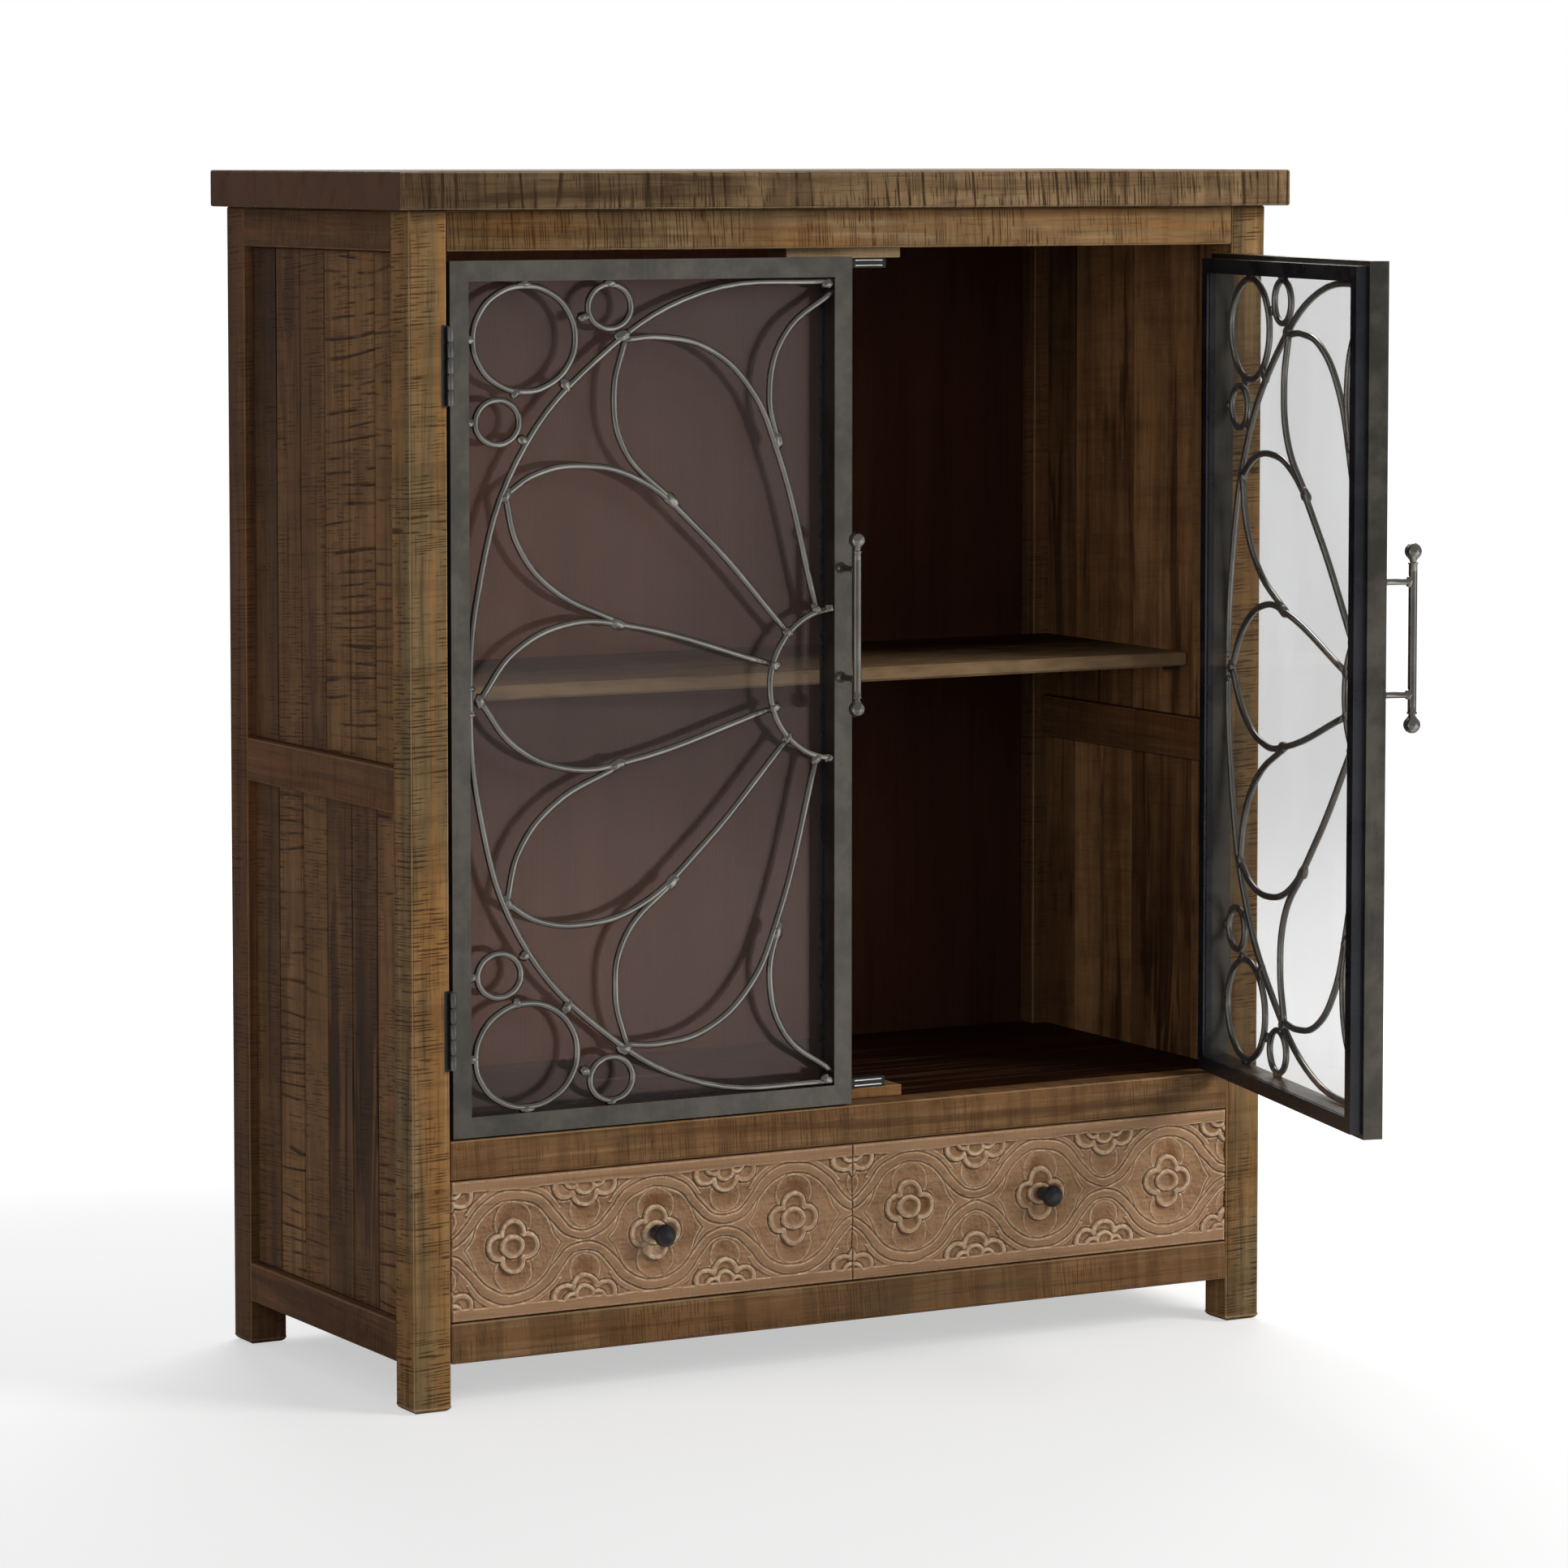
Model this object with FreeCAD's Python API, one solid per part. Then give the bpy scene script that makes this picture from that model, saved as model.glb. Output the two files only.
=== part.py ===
import FreeCAD, Part
import math
import os

from FreeCAD import Vector

# Free-standing two-door cabinet with wrought-iron grilles, glass and two carved drawers.
# Millimetres. X runs along the width, Y from the front face to the back, Z up.
# The origin is on the floor, in the middle of the width, in the plane of the front posts' faces.
# The left door is modelled closed and the right door stands open, as in the reference view.

# Carcass
body_width = 984.0
body_depth = 430.0
body_height = 1170.0
post_side = 41.0
post_edge_bevel = 1.2
foot_edge_bevel = 3.0
foot_height = 46.0

# Top slab, made of boards glued edge to edge
slab_thickness = 37.0
slab_front_overhang = 20.0
slab_side_overhang = 18.0
slab_edge_bevel = 1.8
slab_board_count = 4
slab_seam_width = 1.6
slab_seam_depth = 0.8

# Rails
front_rail_depth = 34.0
bottom_rail_height = 40.0
drawer_opening_height = 141.0
middle_rail_height = 39.0
top_rail_height = 40.0
side_rail_thickness = 30.0
side_middle_rail_bottom = 585.0
side_middle_rail_height = 44.0
back_rail_depth = 30.0

# Side planks and the back panel
plank_count = 6
plank_thickness = 14.0
plank_recess = 10.0
plank_edge_bevel = 0.8
back_panel_thickness = 12.0
back_panel_recess = 6.0

# Floor of the cupboard and its cleats
floor_thickness = 18.0
cleat_width = 20.0
cleat_height = 20.0

# Shelf and its pins
shelf_thickness = 14.5
shelf_underside = 683.5
shelf_front_setback = 104.0
shelf_rear_gap = 3.0
shelf_side_gap = 1.0
shelf_edge_bevel = 1.2
shelf_pin_radius = 3.0
shelf_pin_depth = 8.0
shelf_pin_reach = 15.0
pin_hole_clearance = 0.05
shelf_pin_planks = (1, 5)

# Doors: square tube outside, a grooved frame behind it that holds the glass
door_hinge_gap = 3.0
door_meeting_gap = 4.0
door_top_gap = 9.0
door_bottom_gap = 2.0
tube_side = 20.0
tube_edge_bevel = 0.9
glass_frame_inset = 5.0
glass_frame_depth = 12.0
glass_thickness = 4.0
glass_setback = 6.0
glass_groove_depth = 6.0
glass_clearance = 0.1
right_door_open_angle = 76.6

# Grille: forged rod, drawn square and in short straight runs, and its welds
rod_width = 6.6
rod_setback = 1.0
bend_tolerance = 0.5
ring_side_count = 22
small_ring_side_count = 14
weld_overlap = 2.2

# Door handles
handle_rod_diameter = 9.0
handle_ball_diameter = 17.0
handle_ball_chord_count = 5
handle_ball_pole_angle = math.radians(74)
handle_ball_spacing = 169.0
handle_neck_diameter = 7.0
handle_neck_length = 3.0
handle_stand_off = 32.0
handle_post_diameter = 7.0
handle_post_spacing = 110.0
handle_foot_diameter = 12.0
handle_foot_height = 3.5
handle_edge_distance = 12.5
handle_above_middle = 61.0

# Butt hinges
hinge_length = 77.0
hinge_knuckle_radius = 3.5
hinge_knuckle_count = 3
hinge_knuckle_gap = 0.25
hinge_leaf_thickness = 1.2
hinge_leaf_width = 19.0
hinge_pin_radius = 1.7
hinge_pin_clearance = 0.06
hinge_pin_forward = 4.0
hinge_from_door_bottom = 106.5
hinge_from_door_top = 101.0

# Stop blocks and magnetic catches
block_depth = 39.0
upper_block_width = 132.0
upper_block_height = 10.4
lower_block_width = 152.0
lower_block_height = 11.0
stop_clearance = 1.0
catch_width = 40.0
catch_depth = 14.0
catch_height = 10.5
catch_from_middle = 16.0
pole_width = 32.0
pole_depth = 9.0
pole_thickness = 1.6
pole_spacing = 5.2
pole_proud = 0.6

# Drawers
drawer_gap = 1.5
drawer_front_thickness = 20.0
drawer_front_edge_bevel = 1.0
drawer_side_thickness = 12.0
drawer_side_height = 120.0
drawer_rear_space = 42.0
drawer_back_thickness = 12.0
drawer_back_drop = 8.0
drawer_bottom_thickness = 6.0
drawer_bottom_rise = 10.0
drawer_groove_depth = 6.0
drawer_groove_clearance = 0.2
drawer_running_clearance = 0.3
drawer_side_clearance = 2.0

# Drawer bearers
bearer_lift = 12.0
bearer_height = 38.0
bearer_tread = 18.0
bearer_fence_width = 7.0
centre_fence_width = 16.0
bearer_fence_height = 30.0

# Drawer knobs and their screws
knob_radius = 11.5
knob_height = 27.0
knob_base_radius = 6.5
knob_base_height = 3.0
knob_waist_radius = 4.6
knob_waist_height = 9.0
knob_rim_height = 17.0
knob_dome_chord_count = 3
knob_dome_pole_angle = math.radians(78)
knob_screw_radius = 2.0
knob_screw_depth = 14.0
knob_screw_clearance = 0.05
knob_screw_tip_room = 1.0
knob_screw_head_radius = 4.2
knob_screw_head_height = 2.6

# Small turned pieces are drawn with flats all round
turned_flat_count = 16
peg_flat_count = 12

# One overrun serves every cut, and points closer than this count as the same place
cut_over = 5.0
same_place = 0.01

# Levels and planes that follow from the sizes above
half_width = body_width / 2
bottom_rail_top = foot_height + bottom_rail_height
drawer_opening_top = bottom_rail_top + drawer_opening_height
door_sill = drawer_opening_top + middle_rail_height
top_rail_bottom = body_height - top_rail_height
post_inner = half_width - post_side
rear_post_front = body_depth - post_side
plank_inner = half_width - plank_recess - plank_thickness
back_panel_front = body_depth - back_panel_recess - back_panel_thickness
side_middle_rail_top = side_middle_rail_bottom + side_middle_rail_height
door_bottom = door_sill + door_bottom_gap
door_top = top_rail_bottom - door_top_gap
door_height = door_top - door_bottom
door_middle = (door_bottom + door_top) / 2
door_width = post_inner - door_hinge_gap - door_meeting_gap / 2
door_edge = post_inner - door_hinge_gap
hinge_axis_x = post_inner - door_hinge_gap / 2
bearer_top = bottom_rail_top + bearer_lift
drawer_box_bottom = bearer_top + drawer_running_clearance
drawer_box_back = back_panel_front - drawer_rear_space
hinge_heights = (door_bottom + hinge_from_door_bottom, door_top - hinge_from_door_top)
glass_plane = tube_side + glass_setback
door_back = tube_side + glass_frame_depth

# Grille curves. Each point is a share of the opening's width, from the hinge stile inwards,
# and a share of its half height, up from the middle. The lower half mirrors the upper half.
outer_arc_shares = [(0.004, 0.0), (0.026, 0.256), (0.131, 0.571),
                    (0.345, 0.808), (0.632, 0.966), (1.0, 0.992)]
hub_radius_share = 0.186
hub_centre_share = 1.01
petal_shares = {
    "high_outer": [(0.424, 0.856), (0.516, 0.861), (0.651, 0.831), (0.768, 0.733), (0.839, 0.59), (0.954, 0.182)],
    "high_inner": [(0.424, 0.856), (0.394, 0.733), (0.419, 0.595), (0.554, 0.462)],
    "side_upper": [(0.1, 0.49), (0.18, 0.537), (0.303, 0.555), (0.46, 0.518), (0.632, 0.384), (0.874, 0.129)],
    "side_lower": [(0.1, 0.49), (0.133, 0.368), (0.221, 0.264), (0.408, 0.172)],
    "middle": [(0.03, 0.0), (0.124, 0.114), (0.28, 0.177), (0.412, 0.168), (0.832, 0.053)],
    "corner": [(1.0, 0.966), (0.864, 0.861), (0.822, 0.715), (0.845, 0.598)],
}
# Ring: centre across, centre up, half width, half height, all as shares in the same way
large_ring_shares = (0.152, 0.862, 0.1455, 0.1345)
small_ring_shares = [(0.382, 0.936, 0.0665, 0.0615), (0.079, 0.664, 0.0665, 0.0615)]
# Welds between two rods, and from a rod to the frame, as pairs of points in the same shares
weld_shares = [
    ((0.245, 0.762), (0.275, 0.742)),
    ((0.292, 0.903), (0.325, 0.921)),
    ((0.122, 0.723), (0.131, 0.742)),
    ((0.132, 0.628), (0.16, 0.613)),
    ((0.42, 0.892), (0.438, 0.868)),
    ((-0.01, 0.862), (0.02, 0.862)),
    ((-0.01, 0.664), (0.022, 0.664)),
    ((0.152, 0.985), (0.152, 1.01)),
    ((0.382, 0.985), (0.382, 1.01)),
]


def block(x0, x1, y0, y1, z0, z1):
    """Closed box between two corners."""
    size = Vector(x1 - x0, y1 - y0, z1 - z0)
    return Part.makeBox(size.x, size.y, size.z, Vector(x0, y0, z0))


def cylinder(radius, base, direction, length):
    return Part.makeCylinder(radius, length, base, direction)


def polygon_face(points):
    return Part.Face(Part.makePolygon(points + [points[0]]))


def mirrored(shape):
    """The same piece on the right-hand side."""
    return shape.mirror(Vector(0, 0, 0), Vector(1, 0, 0))


def edges_where(shape, wanted):
    return [edge for edge in shape.Edges if wanted(edge)]


def eased(shape, size, wanted):
    """Takes a small bevel off the chosen edges."""
    return shape.makeChamfer(size, edges_where(shape, wanted))


def is_upright(edge):
    low, high = [vertex.Point for vertex in edge.Vertexes]
    return abs(low.x - high.x) + abs(low.y - high.y) < same_place


def lies_on(edge, axis, place):
    """Whether both ends of an edge have this coordinate."""
    return all(abs(getattr(vertex.Point, axis) - place) < same_place for vertex in edge.Vertexes)


def turned(outline, flats=turned_flat_count):
    """Turned piece with flats, through points of radius and height up the Z axis."""
    angles = [2 * math.pi * index / flats for index in range(flats)]
    rings = [[Vector(radius * math.cos(angle), radius * math.sin(angle), height) for angle in angles]
             for radius, height in outline]
    faces = [polygon_face(rings[0]), polygon_face(rings[-1])]
    for low, high in zip(rings, rings[1:]):
        for index in range(flats):
            faces.append(polygon_face([low[index - 1], low[index], high[index], high[index - 1]]))
    skin = Part.makeCompound(faces)
    skin.sewShape()
    return Part.makeSolid(Part.Shell(skin.Faces))


def ball_outline(radius, height, start_angle, end_angle, chords):
    """Points of radius and height along a ball, the first and last included."""
    step = (end_angle - start_angle) / chords
    angles = [start_angle + step * index for index in range(chords + 1)]
    return [(radius * math.cos(angle), height + radius * math.sin(angle)) for angle in angles]


def peg(radius, base, length):
    """Short round bar along X."""
    shape = turned([(radius, 0), (radius, length)], peg_flat_count)
    shape.rotate(Vector(0, 0, 0), Vector(0, 1, 0), 90)
    shape.translate(base)
    return shape


def group(shapes):
    return Part.makeCompound(shapes)


def export(name, shape):
    shape.exportStep("parts/" + name + ".step")
    print(name, len(shape.Solids), round(shape.Volume))


def export_pair(name, left_shape):
    """Writes a piece of the left half and its mirror image on the right half."""
    export("left_" + name, left_shape)
    export("right_" + name, mirrored(left_shape))


def post(front):
    """Square post that runs down to the floor as a foot."""
    y0 = 0 if front else rear_post_front
    shape = block(-half_width, -post_inner, y0, y0 + post_side, 0, body_height)
    shape = eased(shape, foot_edge_bevel, lambda edge: lies_on(edge, "z", 0))
    return eased(shape, post_edge_bevel, is_upright)


def front_rail(z0, z1):
    return block(-post_inner, post_inner, 0, front_rail_depth, z0, z1)


def side_rail(z0, z1):
    return block(-half_width, -half_width + side_rail_thickness, post_side, rear_post_front, z0, z1)


def plank(y0, y1, z0, z1):
    """Board with its long outer and inner edges eased, so that each joint shows as a fine V."""
    x0 = -half_width + plank_recess
    x1 = x0 + plank_thickness
    e = plank_edge_bevel
    outline = [(x0 + e, y0), (x1 - e, y0), (x1, y0 + e), (x1, y1 - e),
               (x1 - e, y1), (x0 + e, y1), (x0, y1 - e), (x0, y0 + e)]
    face = polygon_face([Vector(x, y, z0) for x, y in outline])
    return face.extrude(Vector(0, 0, z1 - z0))


def plank_edges(index):
    pitch = (rear_post_front - post_side) / plank_count
    return post_side + index * pitch, post_side + (index + 1) * pitch


def pin_places():
    """Depths of the shelf pins, each in the middle of a plank behind the shelf's front edge."""
    return [sum(plank_edges(index)) / 2 for index in shelf_pin_planks]


def pin_height():
    return shelf_underside - shelf_pin_radius


def planks(z0, z1):
    shapes = []
    for index in range(plank_count):
        y0, y1 = plank_edges(index)
        board = plank(y0, y1, z0, z1)
        if index in shelf_pin_planks and z0 < pin_height() < z1:
            mouth = Vector(-plank_inner - shelf_pin_depth, (y0 + y1) / 2, pin_height())
            hole = peg(shelf_pin_radius + pin_hole_clearance, mouth, shelf_pin_depth + cut_over)
            board = board.cut(hole)
        shapes.append(board)
    return group(shapes)


def shelf_pins():
    shapes = []
    for y in pin_places():
        base = Vector(-plank_inner - shelf_pin_depth, y, pin_height())
        pin = peg(shelf_pin_radius, base, shelf_pin_depth + shelf_pin_reach)
        shapes += [pin, mirrored(pin)]
    return group(shapes)


def top_slab():
    """Thick top with eased arrises and a shallow V at each glued joint."""
    x1 = half_width + slab_side_overhang
    z0 = body_height
    z1 = body_height + slab_thickness
    slab = block(-x1, x1, -slab_front_overhang, body_depth, z0, z1)
    slab = eased(slab, slab_edge_bevel, lambda edge: is_upright(edge) or lies_on(edge, "z", z1))
    pitch = (body_depth + slab_front_overhang) / slab_board_count
    for index in range(1, slab_board_count):
        y = -slab_front_overhang + index * pitch
        section = [Vector(-x1 - cut_over, y - slab_seam_width / 2, z1),
                   Vector(-x1 - cut_over, y, z1 - slab_seam_depth),
                   Vector(-x1 - cut_over, y + slab_seam_width / 2, z1)]
        slab = slab.cut(polygon_face(section).extrude(Vector(2 * (x1 + cut_over), 0, 0)))
    return slab


def cabinet_floor():
    """Board behind the middle rail, notched round the posts."""
    z0 = door_sill - floor_thickness
    board = block(-plank_inner, plank_inner, front_rail_depth, back_panel_front, z0, door_sill)
    for y0, y1 in ((-cut_over, post_side), (rear_post_front, body_depth)):
        notch = block(-half_width, -post_inner, y0, y1, z0 - cut_over, door_sill + cut_over)
        board = board.cut(notch).cut(mirrored(notch))
    return board


def floor_cleats():
    z1 = door_sill - floor_thickness
    cleat = block(-plank_inner, -plank_inner + cleat_width, post_side, rear_post_front, z1 - cleat_height, z1)
    return group([cleat, mirrored(cleat)])


def shelf():
    x1 = plank_inner - shelf_side_gap
    z1 = shelf_underside + shelf_thickness
    board = block(-x1, x1, shelf_front_setback, rear_post_front - shelf_rear_gap, shelf_underside, z1)
    return eased(board, shelf_edge_bevel,
                 lambda edge: lies_on(edge, "y", shelf_front_setback) and not is_upright(edge))


def back_panel():
    return block(-post_inner, post_inner, back_panel_front, back_panel_front + back_panel_thickness,
                 bottom_rail_top, top_rail_bottom)


def back_rails():
    y0 = body_depth - back_rail_depth
    low = block(-post_inner, post_inner, y0, body_depth, foot_height, bottom_rail_top)
    high = block(-post_inner, post_inner, y0, body_depth, top_rail_bottom, body_height)
    return group([low, high])


def side_bearer():
    """L-shaped bearer: the tread carries a drawer side and the fence guides it."""
    y0 = front_rail_depth
    y1 = body_depth - back_rail_depth
    x0 = -post_inner
    z0 = bearer_top - bearer_height
    tread = block(x0, x0 + bearer_fence_width + bearer_tread, y0, y1, z0, bearer_top)
    fence = block(x0, x0 + bearer_fence_width, y0, y1, bearer_top, bearer_top + bearer_fence_height)
    return tread.fuse(fence).removeSplitter()


def centre_bearer():
    y0 = front_rail_depth
    y1 = body_depth - back_rail_depth
    half_tread = centre_fence_width / 2 + bearer_tread
    z0 = bearer_top - bearer_height
    tread = block(-half_tread, half_tread, y0, y1, z0, bearer_top)
    fence = block(-centre_fence_width / 2, centre_fence_width / 2, y0, y1, bearer_top,
                  bearer_top + bearer_fence_height)
    return tread.fuse(fence).removeSplitter()


def upper_stop_block():
    x1 = upper_block_width / 2
    y0 = tube_side + stop_clearance
    return block(-x1, x1, y0, y0 + block_depth, top_rail_bottom - upper_block_height, top_rail_bottom)


def lower_stop_block():
    x1 = lower_block_width / 2
    y0 = door_back + stop_clearance
    return block(-x1, x1, y0, y0 + block_depth, door_sill, door_sill + lower_block_height)


def catch_floor_levels():
    """Undersides of the upper and lower catches, which sit against the stop blocks."""
    return top_rail_bottom - upper_block_height - catch_height, door_sill + lower_block_height


def pole_plate(z0, offset):
    x0 = catch_from_middle + (catch_width - pole_width) / 2
    y0 = door_back + stop_clearance - pole_proud
    z = z0 + catch_height / 2 + offset - pole_thickness / 2
    return block(x0, x0 + pole_width, y0, y0 + pole_depth, z, z + pole_thickness)


def catch_poles(z0):
    return [pole_plate(z0, -pole_spacing / 2), pole_plate(z0, pole_spacing / 2)]


def catch_case(z0):
    y0 = door_back + stop_clearance
    x0 = catch_from_middle
    case = block(x0, x0 + catch_width, y0, y0 + catch_depth, z0, z0 + catch_height)
    for plate in catch_poles(z0):
        case = case.cut(plate)
    return case


def with_mirror(shapes):
    return group(shapes + [mirrored(shape) for shape in shapes])


def magnetic_catches():
    return with_mirror([catch_case(z0) for z0 in catch_floor_levels()])


def catch_pole_plates():
    return with_mirror([plate for z0 in catch_floor_levels() for plate in catch_poles(z0)])


def door_ring(inset_outer, inset_inner, y0, y1):
    """Rectangular frame inside the door's outline, from one inset to another."""
    def layer(inset, front, back):
        return block(-door_edge + inset, -door_edge + door_width - inset, front, back,
                     door_bottom + inset, door_top - inset)
    return layer(inset_outer, y0, y1).cut(layer(inset_inner, y0 - cut_over, y1 + cut_over))


def door_frame():
    """Square tube, mitred and welded; the closed tube is drawn solid."""
    ring = door_ring(0, tube_side, 0, tube_side)

    def is_front_outer(edge):
        on_side = lies_on(edge, "x", -door_edge) or lies_on(edge, "x", -door_edge + door_width)
        on_end = lies_on(edge, "z", door_bottom) or lies_on(edge, "z", door_top)
        return lies_on(edge, "y", 0) and (on_side or on_end)
    return eased(ring, tube_edge_bevel, is_front_outer)


def glass_frame():
    """Frame behind the tube, grooved for the glass with some room on both faces."""
    ring = door_ring(glass_frame_inset, tube_side, tube_side, door_back)
    inset = tube_side - glass_groove_depth
    groove = block(-door_edge + inset, -door_edge + door_width - inset,
                   glass_plane - glass_clearance, glass_plane + glass_thickness + glass_clearance,
                   door_bottom + inset, door_top - inset)
    return ring.cut(groove)


def door_glass():
    inset = tube_side - glass_groove_depth
    x0 = -door_edge + inset + glass_clearance
    x1 = -door_edge + door_width - inset - glass_clearance
    return block(x0, x1, glass_plane, glass_plane + glass_thickness,
                 door_bottom + inset, door_top - inset - glass_clearance)


def opening_width():
    return door_width - 2 * tube_side


def opening_half_height():
    return door_height / 2 - tube_side


def at_share(across, up):
    """Point on the rods' front plane for a pair of shares."""
    x = -door_edge + tube_side + across * opening_width()
    return Vector(x, rod_setback, door_middle + up * opening_half_height())


def bar(points):
    """Bar of the rod's section along a row of points in the grille's plane."""
    before = [points[0]] + points[:-1]
    after = points[1:] + [points[-1]]
    sides = [(end - start).cross(Vector(0, 1, 0)).normalize() * (rod_width / 2)
             for start, end in zip(before, after)]
    left = [point - side for point, side in zip(points, sides)]
    right = [point + side for point, side in zip(points, sides)]
    return polygon_face(left + right[::-1]).extrude(Vector(0, rod_width, 0))


def curved_rod(shares, start_tangent=None, end_tangent=None):
    """Rod that follows a smooth line through a few points."""
    points = [at_share(across, up) for across, up in shares]
    curve = Part.BSplineCurve()
    if start_tangent:
        curve.interpolate(Points=points, InitialTangent=start_tangent, FinalTangent=end_tangent)
    else:
        curve.interpolate(points)
    return bar(curve.toShape().discretize(Deflection=bend_tolerance))


def oval_ring(across, up, half_width_share, half_height_share, sides):
    """Ring a little wider than high."""
    centre = at_share(across, up)

    def disc(inset):
        a = half_width_share * opening_width() - inset
        b = half_height_share * opening_half_height() - inset
        angles = [2 * math.pi * index / sides for index in range(sides)]
        face = polygon_face([centre + Vector(a * math.cos(angle), 0, b * math.sin(angle)) for angle in angles])
        return face.extrude(Vector(0, rod_width, 0))
    return disc(0).cut(disc(rod_width))


def hub_arc():
    """Half circle at the meeting stile, from which the petals spring."""
    centre = at_share(hub_centre_share, 0)
    radius = hub_radius_share * opening_width()
    top = centre + Vector(0, 0, radius)
    left = centre - Vector(radius, 0, 0)
    bottom = centre - Vector(0, 0, radius)
    return bar(Part.Arc(top, left, bottom).toShape().discretize(Deflection=bend_tolerance))


def weld(start_shares, end_shares):
    start = at_share(*start_shares)
    end = at_share(*end_shares)
    along = (end - start).normalize() * weld_overlap
    return bar([start - along, end + along])


def grille():
    """Half flower of five petals: one welded piece, trimmed to the inside of the door frame."""
    upper = [curved_rod(outer_arc_shares, Vector(0, 0, 1), Vector(1, 0, 0))]
    upper += [curved_rod(shares) for shares in petal_shares.values()]
    upper.append(oval_ring(*large_ring_shares, ring_side_count))
    upper += [oval_ring(*shares, small_ring_side_count) for shares in small_ring_shares]
    upper += [weld(start, end) for start, end in weld_shares]
    half = upper[0].multiFuse(upper[1:])
    other_half = half.mirror(Vector(0, 0, door_middle), Vector(0, 0, 1))
    opening = block(-door_edge + tube_side, -door_edge + door_width - tube_side,
                    -cut_over, tube_side, door_bottom + tube_side, door_top - tube_side)
    return half.multiFuse([other_half, hub_arc()]).common(opening).removeSplitter()


def handle():
    """Turned bar with a ball at each end, on two welded posts."""
    half = handle_ball_spacing / 2
    ball = handle_ball_diameter / 2
    neck = handle_neck_diameter / 2
    low = ball_outline(ball, -half, -handle_ball_pole_angle, math.acos(neck / ball), handle_ball_chord_count)
    low.append((handle_rod_diameter / 2, -half + ball + handle_neck_length))
    high = [(radius, -height) for radius, height in reversed(low)]
    shape = turned(low + high)
    shape.translate(Vector(0, -handle_stand_off, 0))
    stub = handle_post_diameter / 2
    stub_outline = [(handle_foot_diameter / 2, 0), (stub, handle_foot_height), (stub, handle_stand_off)]
    for z in (-handle_post_spacing / 2, handle_post_spacing / 2):
        stub_post = turned(stub_outline, peg_flat_count)
        stub_post.rotate(Vector(0, 0, 0), Vector(1, 0, 0), 90)
        stub_post.translate(Vector(0, 0, z))
        shape = shape.fuse(stub_post)
    x = -door_edge + door_width - handle_edge_distance
    shape.translate(Vector(x, 0, door_middle + handle_above_middle))
    return shape


def knuckle_span(index):
    """Bottom and top of a hinge knuckle, measured up from the hinge's lower end."""
    pitch = hinge_length / hinge_knuckle_count
    low = index * pitch + (hinge_knuckle_gap / 2 if index else 0)
    last = index == hinge_knuckle_count - 1
    high = (index + 1) * pitch - (0 if last else hinge_knuckle_gap / 2)
    return low, high


def hinge_leaf(height, on_post):
    """Leaf in the gap beside the door, with every second knuckle round the pin."""
    z0 = height - hinge_length / 2
    axis = Vector(-hinge_axis_x, -hinge_pin_forward, z0)
    t = hinge_leaf_thickness
    x0 = -post_inner if on_post else -door_edge - t
    shape = block(x0, x0 + t, 0, hinge_leaf_width, z0, z0 + hinge_length)
    first = 0 if on_post else 1
    for index in range(first, hinge_knuckle_count, 2):
        low, high = knuckle_span(index)
        barrel = turned([(hinge_knuckle_radius, low), (hinge_knuckle_radius, high)], peg_flat_count)
        barrel.translate(axis)
        tongue = block(x0, x0 + t, -hinge_pin_forward, 0, z0 + low, z0 + high)
        shape = shape.fuse(barrel).fuse(tongue)
    bore = cylinder(hinge_pin_radius + hinge_pin_clearance, axis - Vector(0, 0, cut_over), Vector(0, 0, 1),
                    hinge_length + 2 * cut_over)
    return shape.cut(bore).removeSplitter()


def hinge_pin(height):
    base = Vector(-hinge_axis_x, -hinge_pin_forward, height - hinge_length / 2)
    return cylinder(hinge_pin_radius, base, Vector(0, 0, 1), hinge_length)


def swung(shape):
    """The right door's pieces, turned about their hinge pins to where the door stands."""
    turned = shape.copy()
    turned.rotate(Vector(hinge_axis_x, -hinge_pin_forward, 0), Vector(0, 0, 1), right_door_open_angle)
    return turned


def drawer_front_span():
    return -post_inner + drawer_gap, -drawer_gap / 2


def drawer_box_span():
    x0 = -post_inner + bearer_fence_width + drawer_side_clearance
    x1 = -centre_fence_width / 2 - drawer_side_clearance
    return x0, x1


def knob_place():
    x0, x1 = drawer_front_span()
    return Vector((x0 + x1) / 2, 0, bottom_rail_top + drawer_opening_height / 2)


def drawer_front():
    """Plain blank of the carved front, drilled for the knob's screw."""
    x0, x1 = drawer_front_span()
    z0 = bottom_rail_top + drawer_gap
    z1 = drawer_opening_top - drawer_gap
    board = block(x0, x1, 0, drawer_front_thickness, z0, z1)
    board = eased(board, drawer_front_edge_bevel, lambda edge: lies_on(edge, "y", 0))
    hole = cylinder(knob_screw_radius + knob_screw_clearance, knob_place() - Vector(0, cut_over, 0),
                    Vector(0, 1, 0), drawer_front_thickness + 2 * cut_over)
    return board.cut(hole)


def drawer_bottom_levels():
    z0 = drawer_box_bottom + drawer_bottom_rise
    return z0, z0 + drawer_bottom_thickness


def drawer_sides():
    """Two boards, each grooved for the bottom."""
    x0, x1 = drawer_box_span()
    z0, z1 = drawer_bottom_levels()
    t = drawer_side_thickness
    shapes = []
    for low, groove_from in ((x0, x0 + t - drawer_groove_depth), (x1 - t, x1 - t - cut_over)):
        side = block(low, low + t, drawer_front_thickness, drawer_box_back,
                     drawer_box_bottom, drawer_box_bottom + drawer_side_height)
        groove = block(groove_from, groove_from + drawer_groove_depth + cut_over,
                       drawer_front_thickness - cut_over, drawer_box_back + cut_over,
                       z0, z1 + drawer_groove_clearance)
        shapes.append(side.cut(groove))
    return group(shapes)


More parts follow.
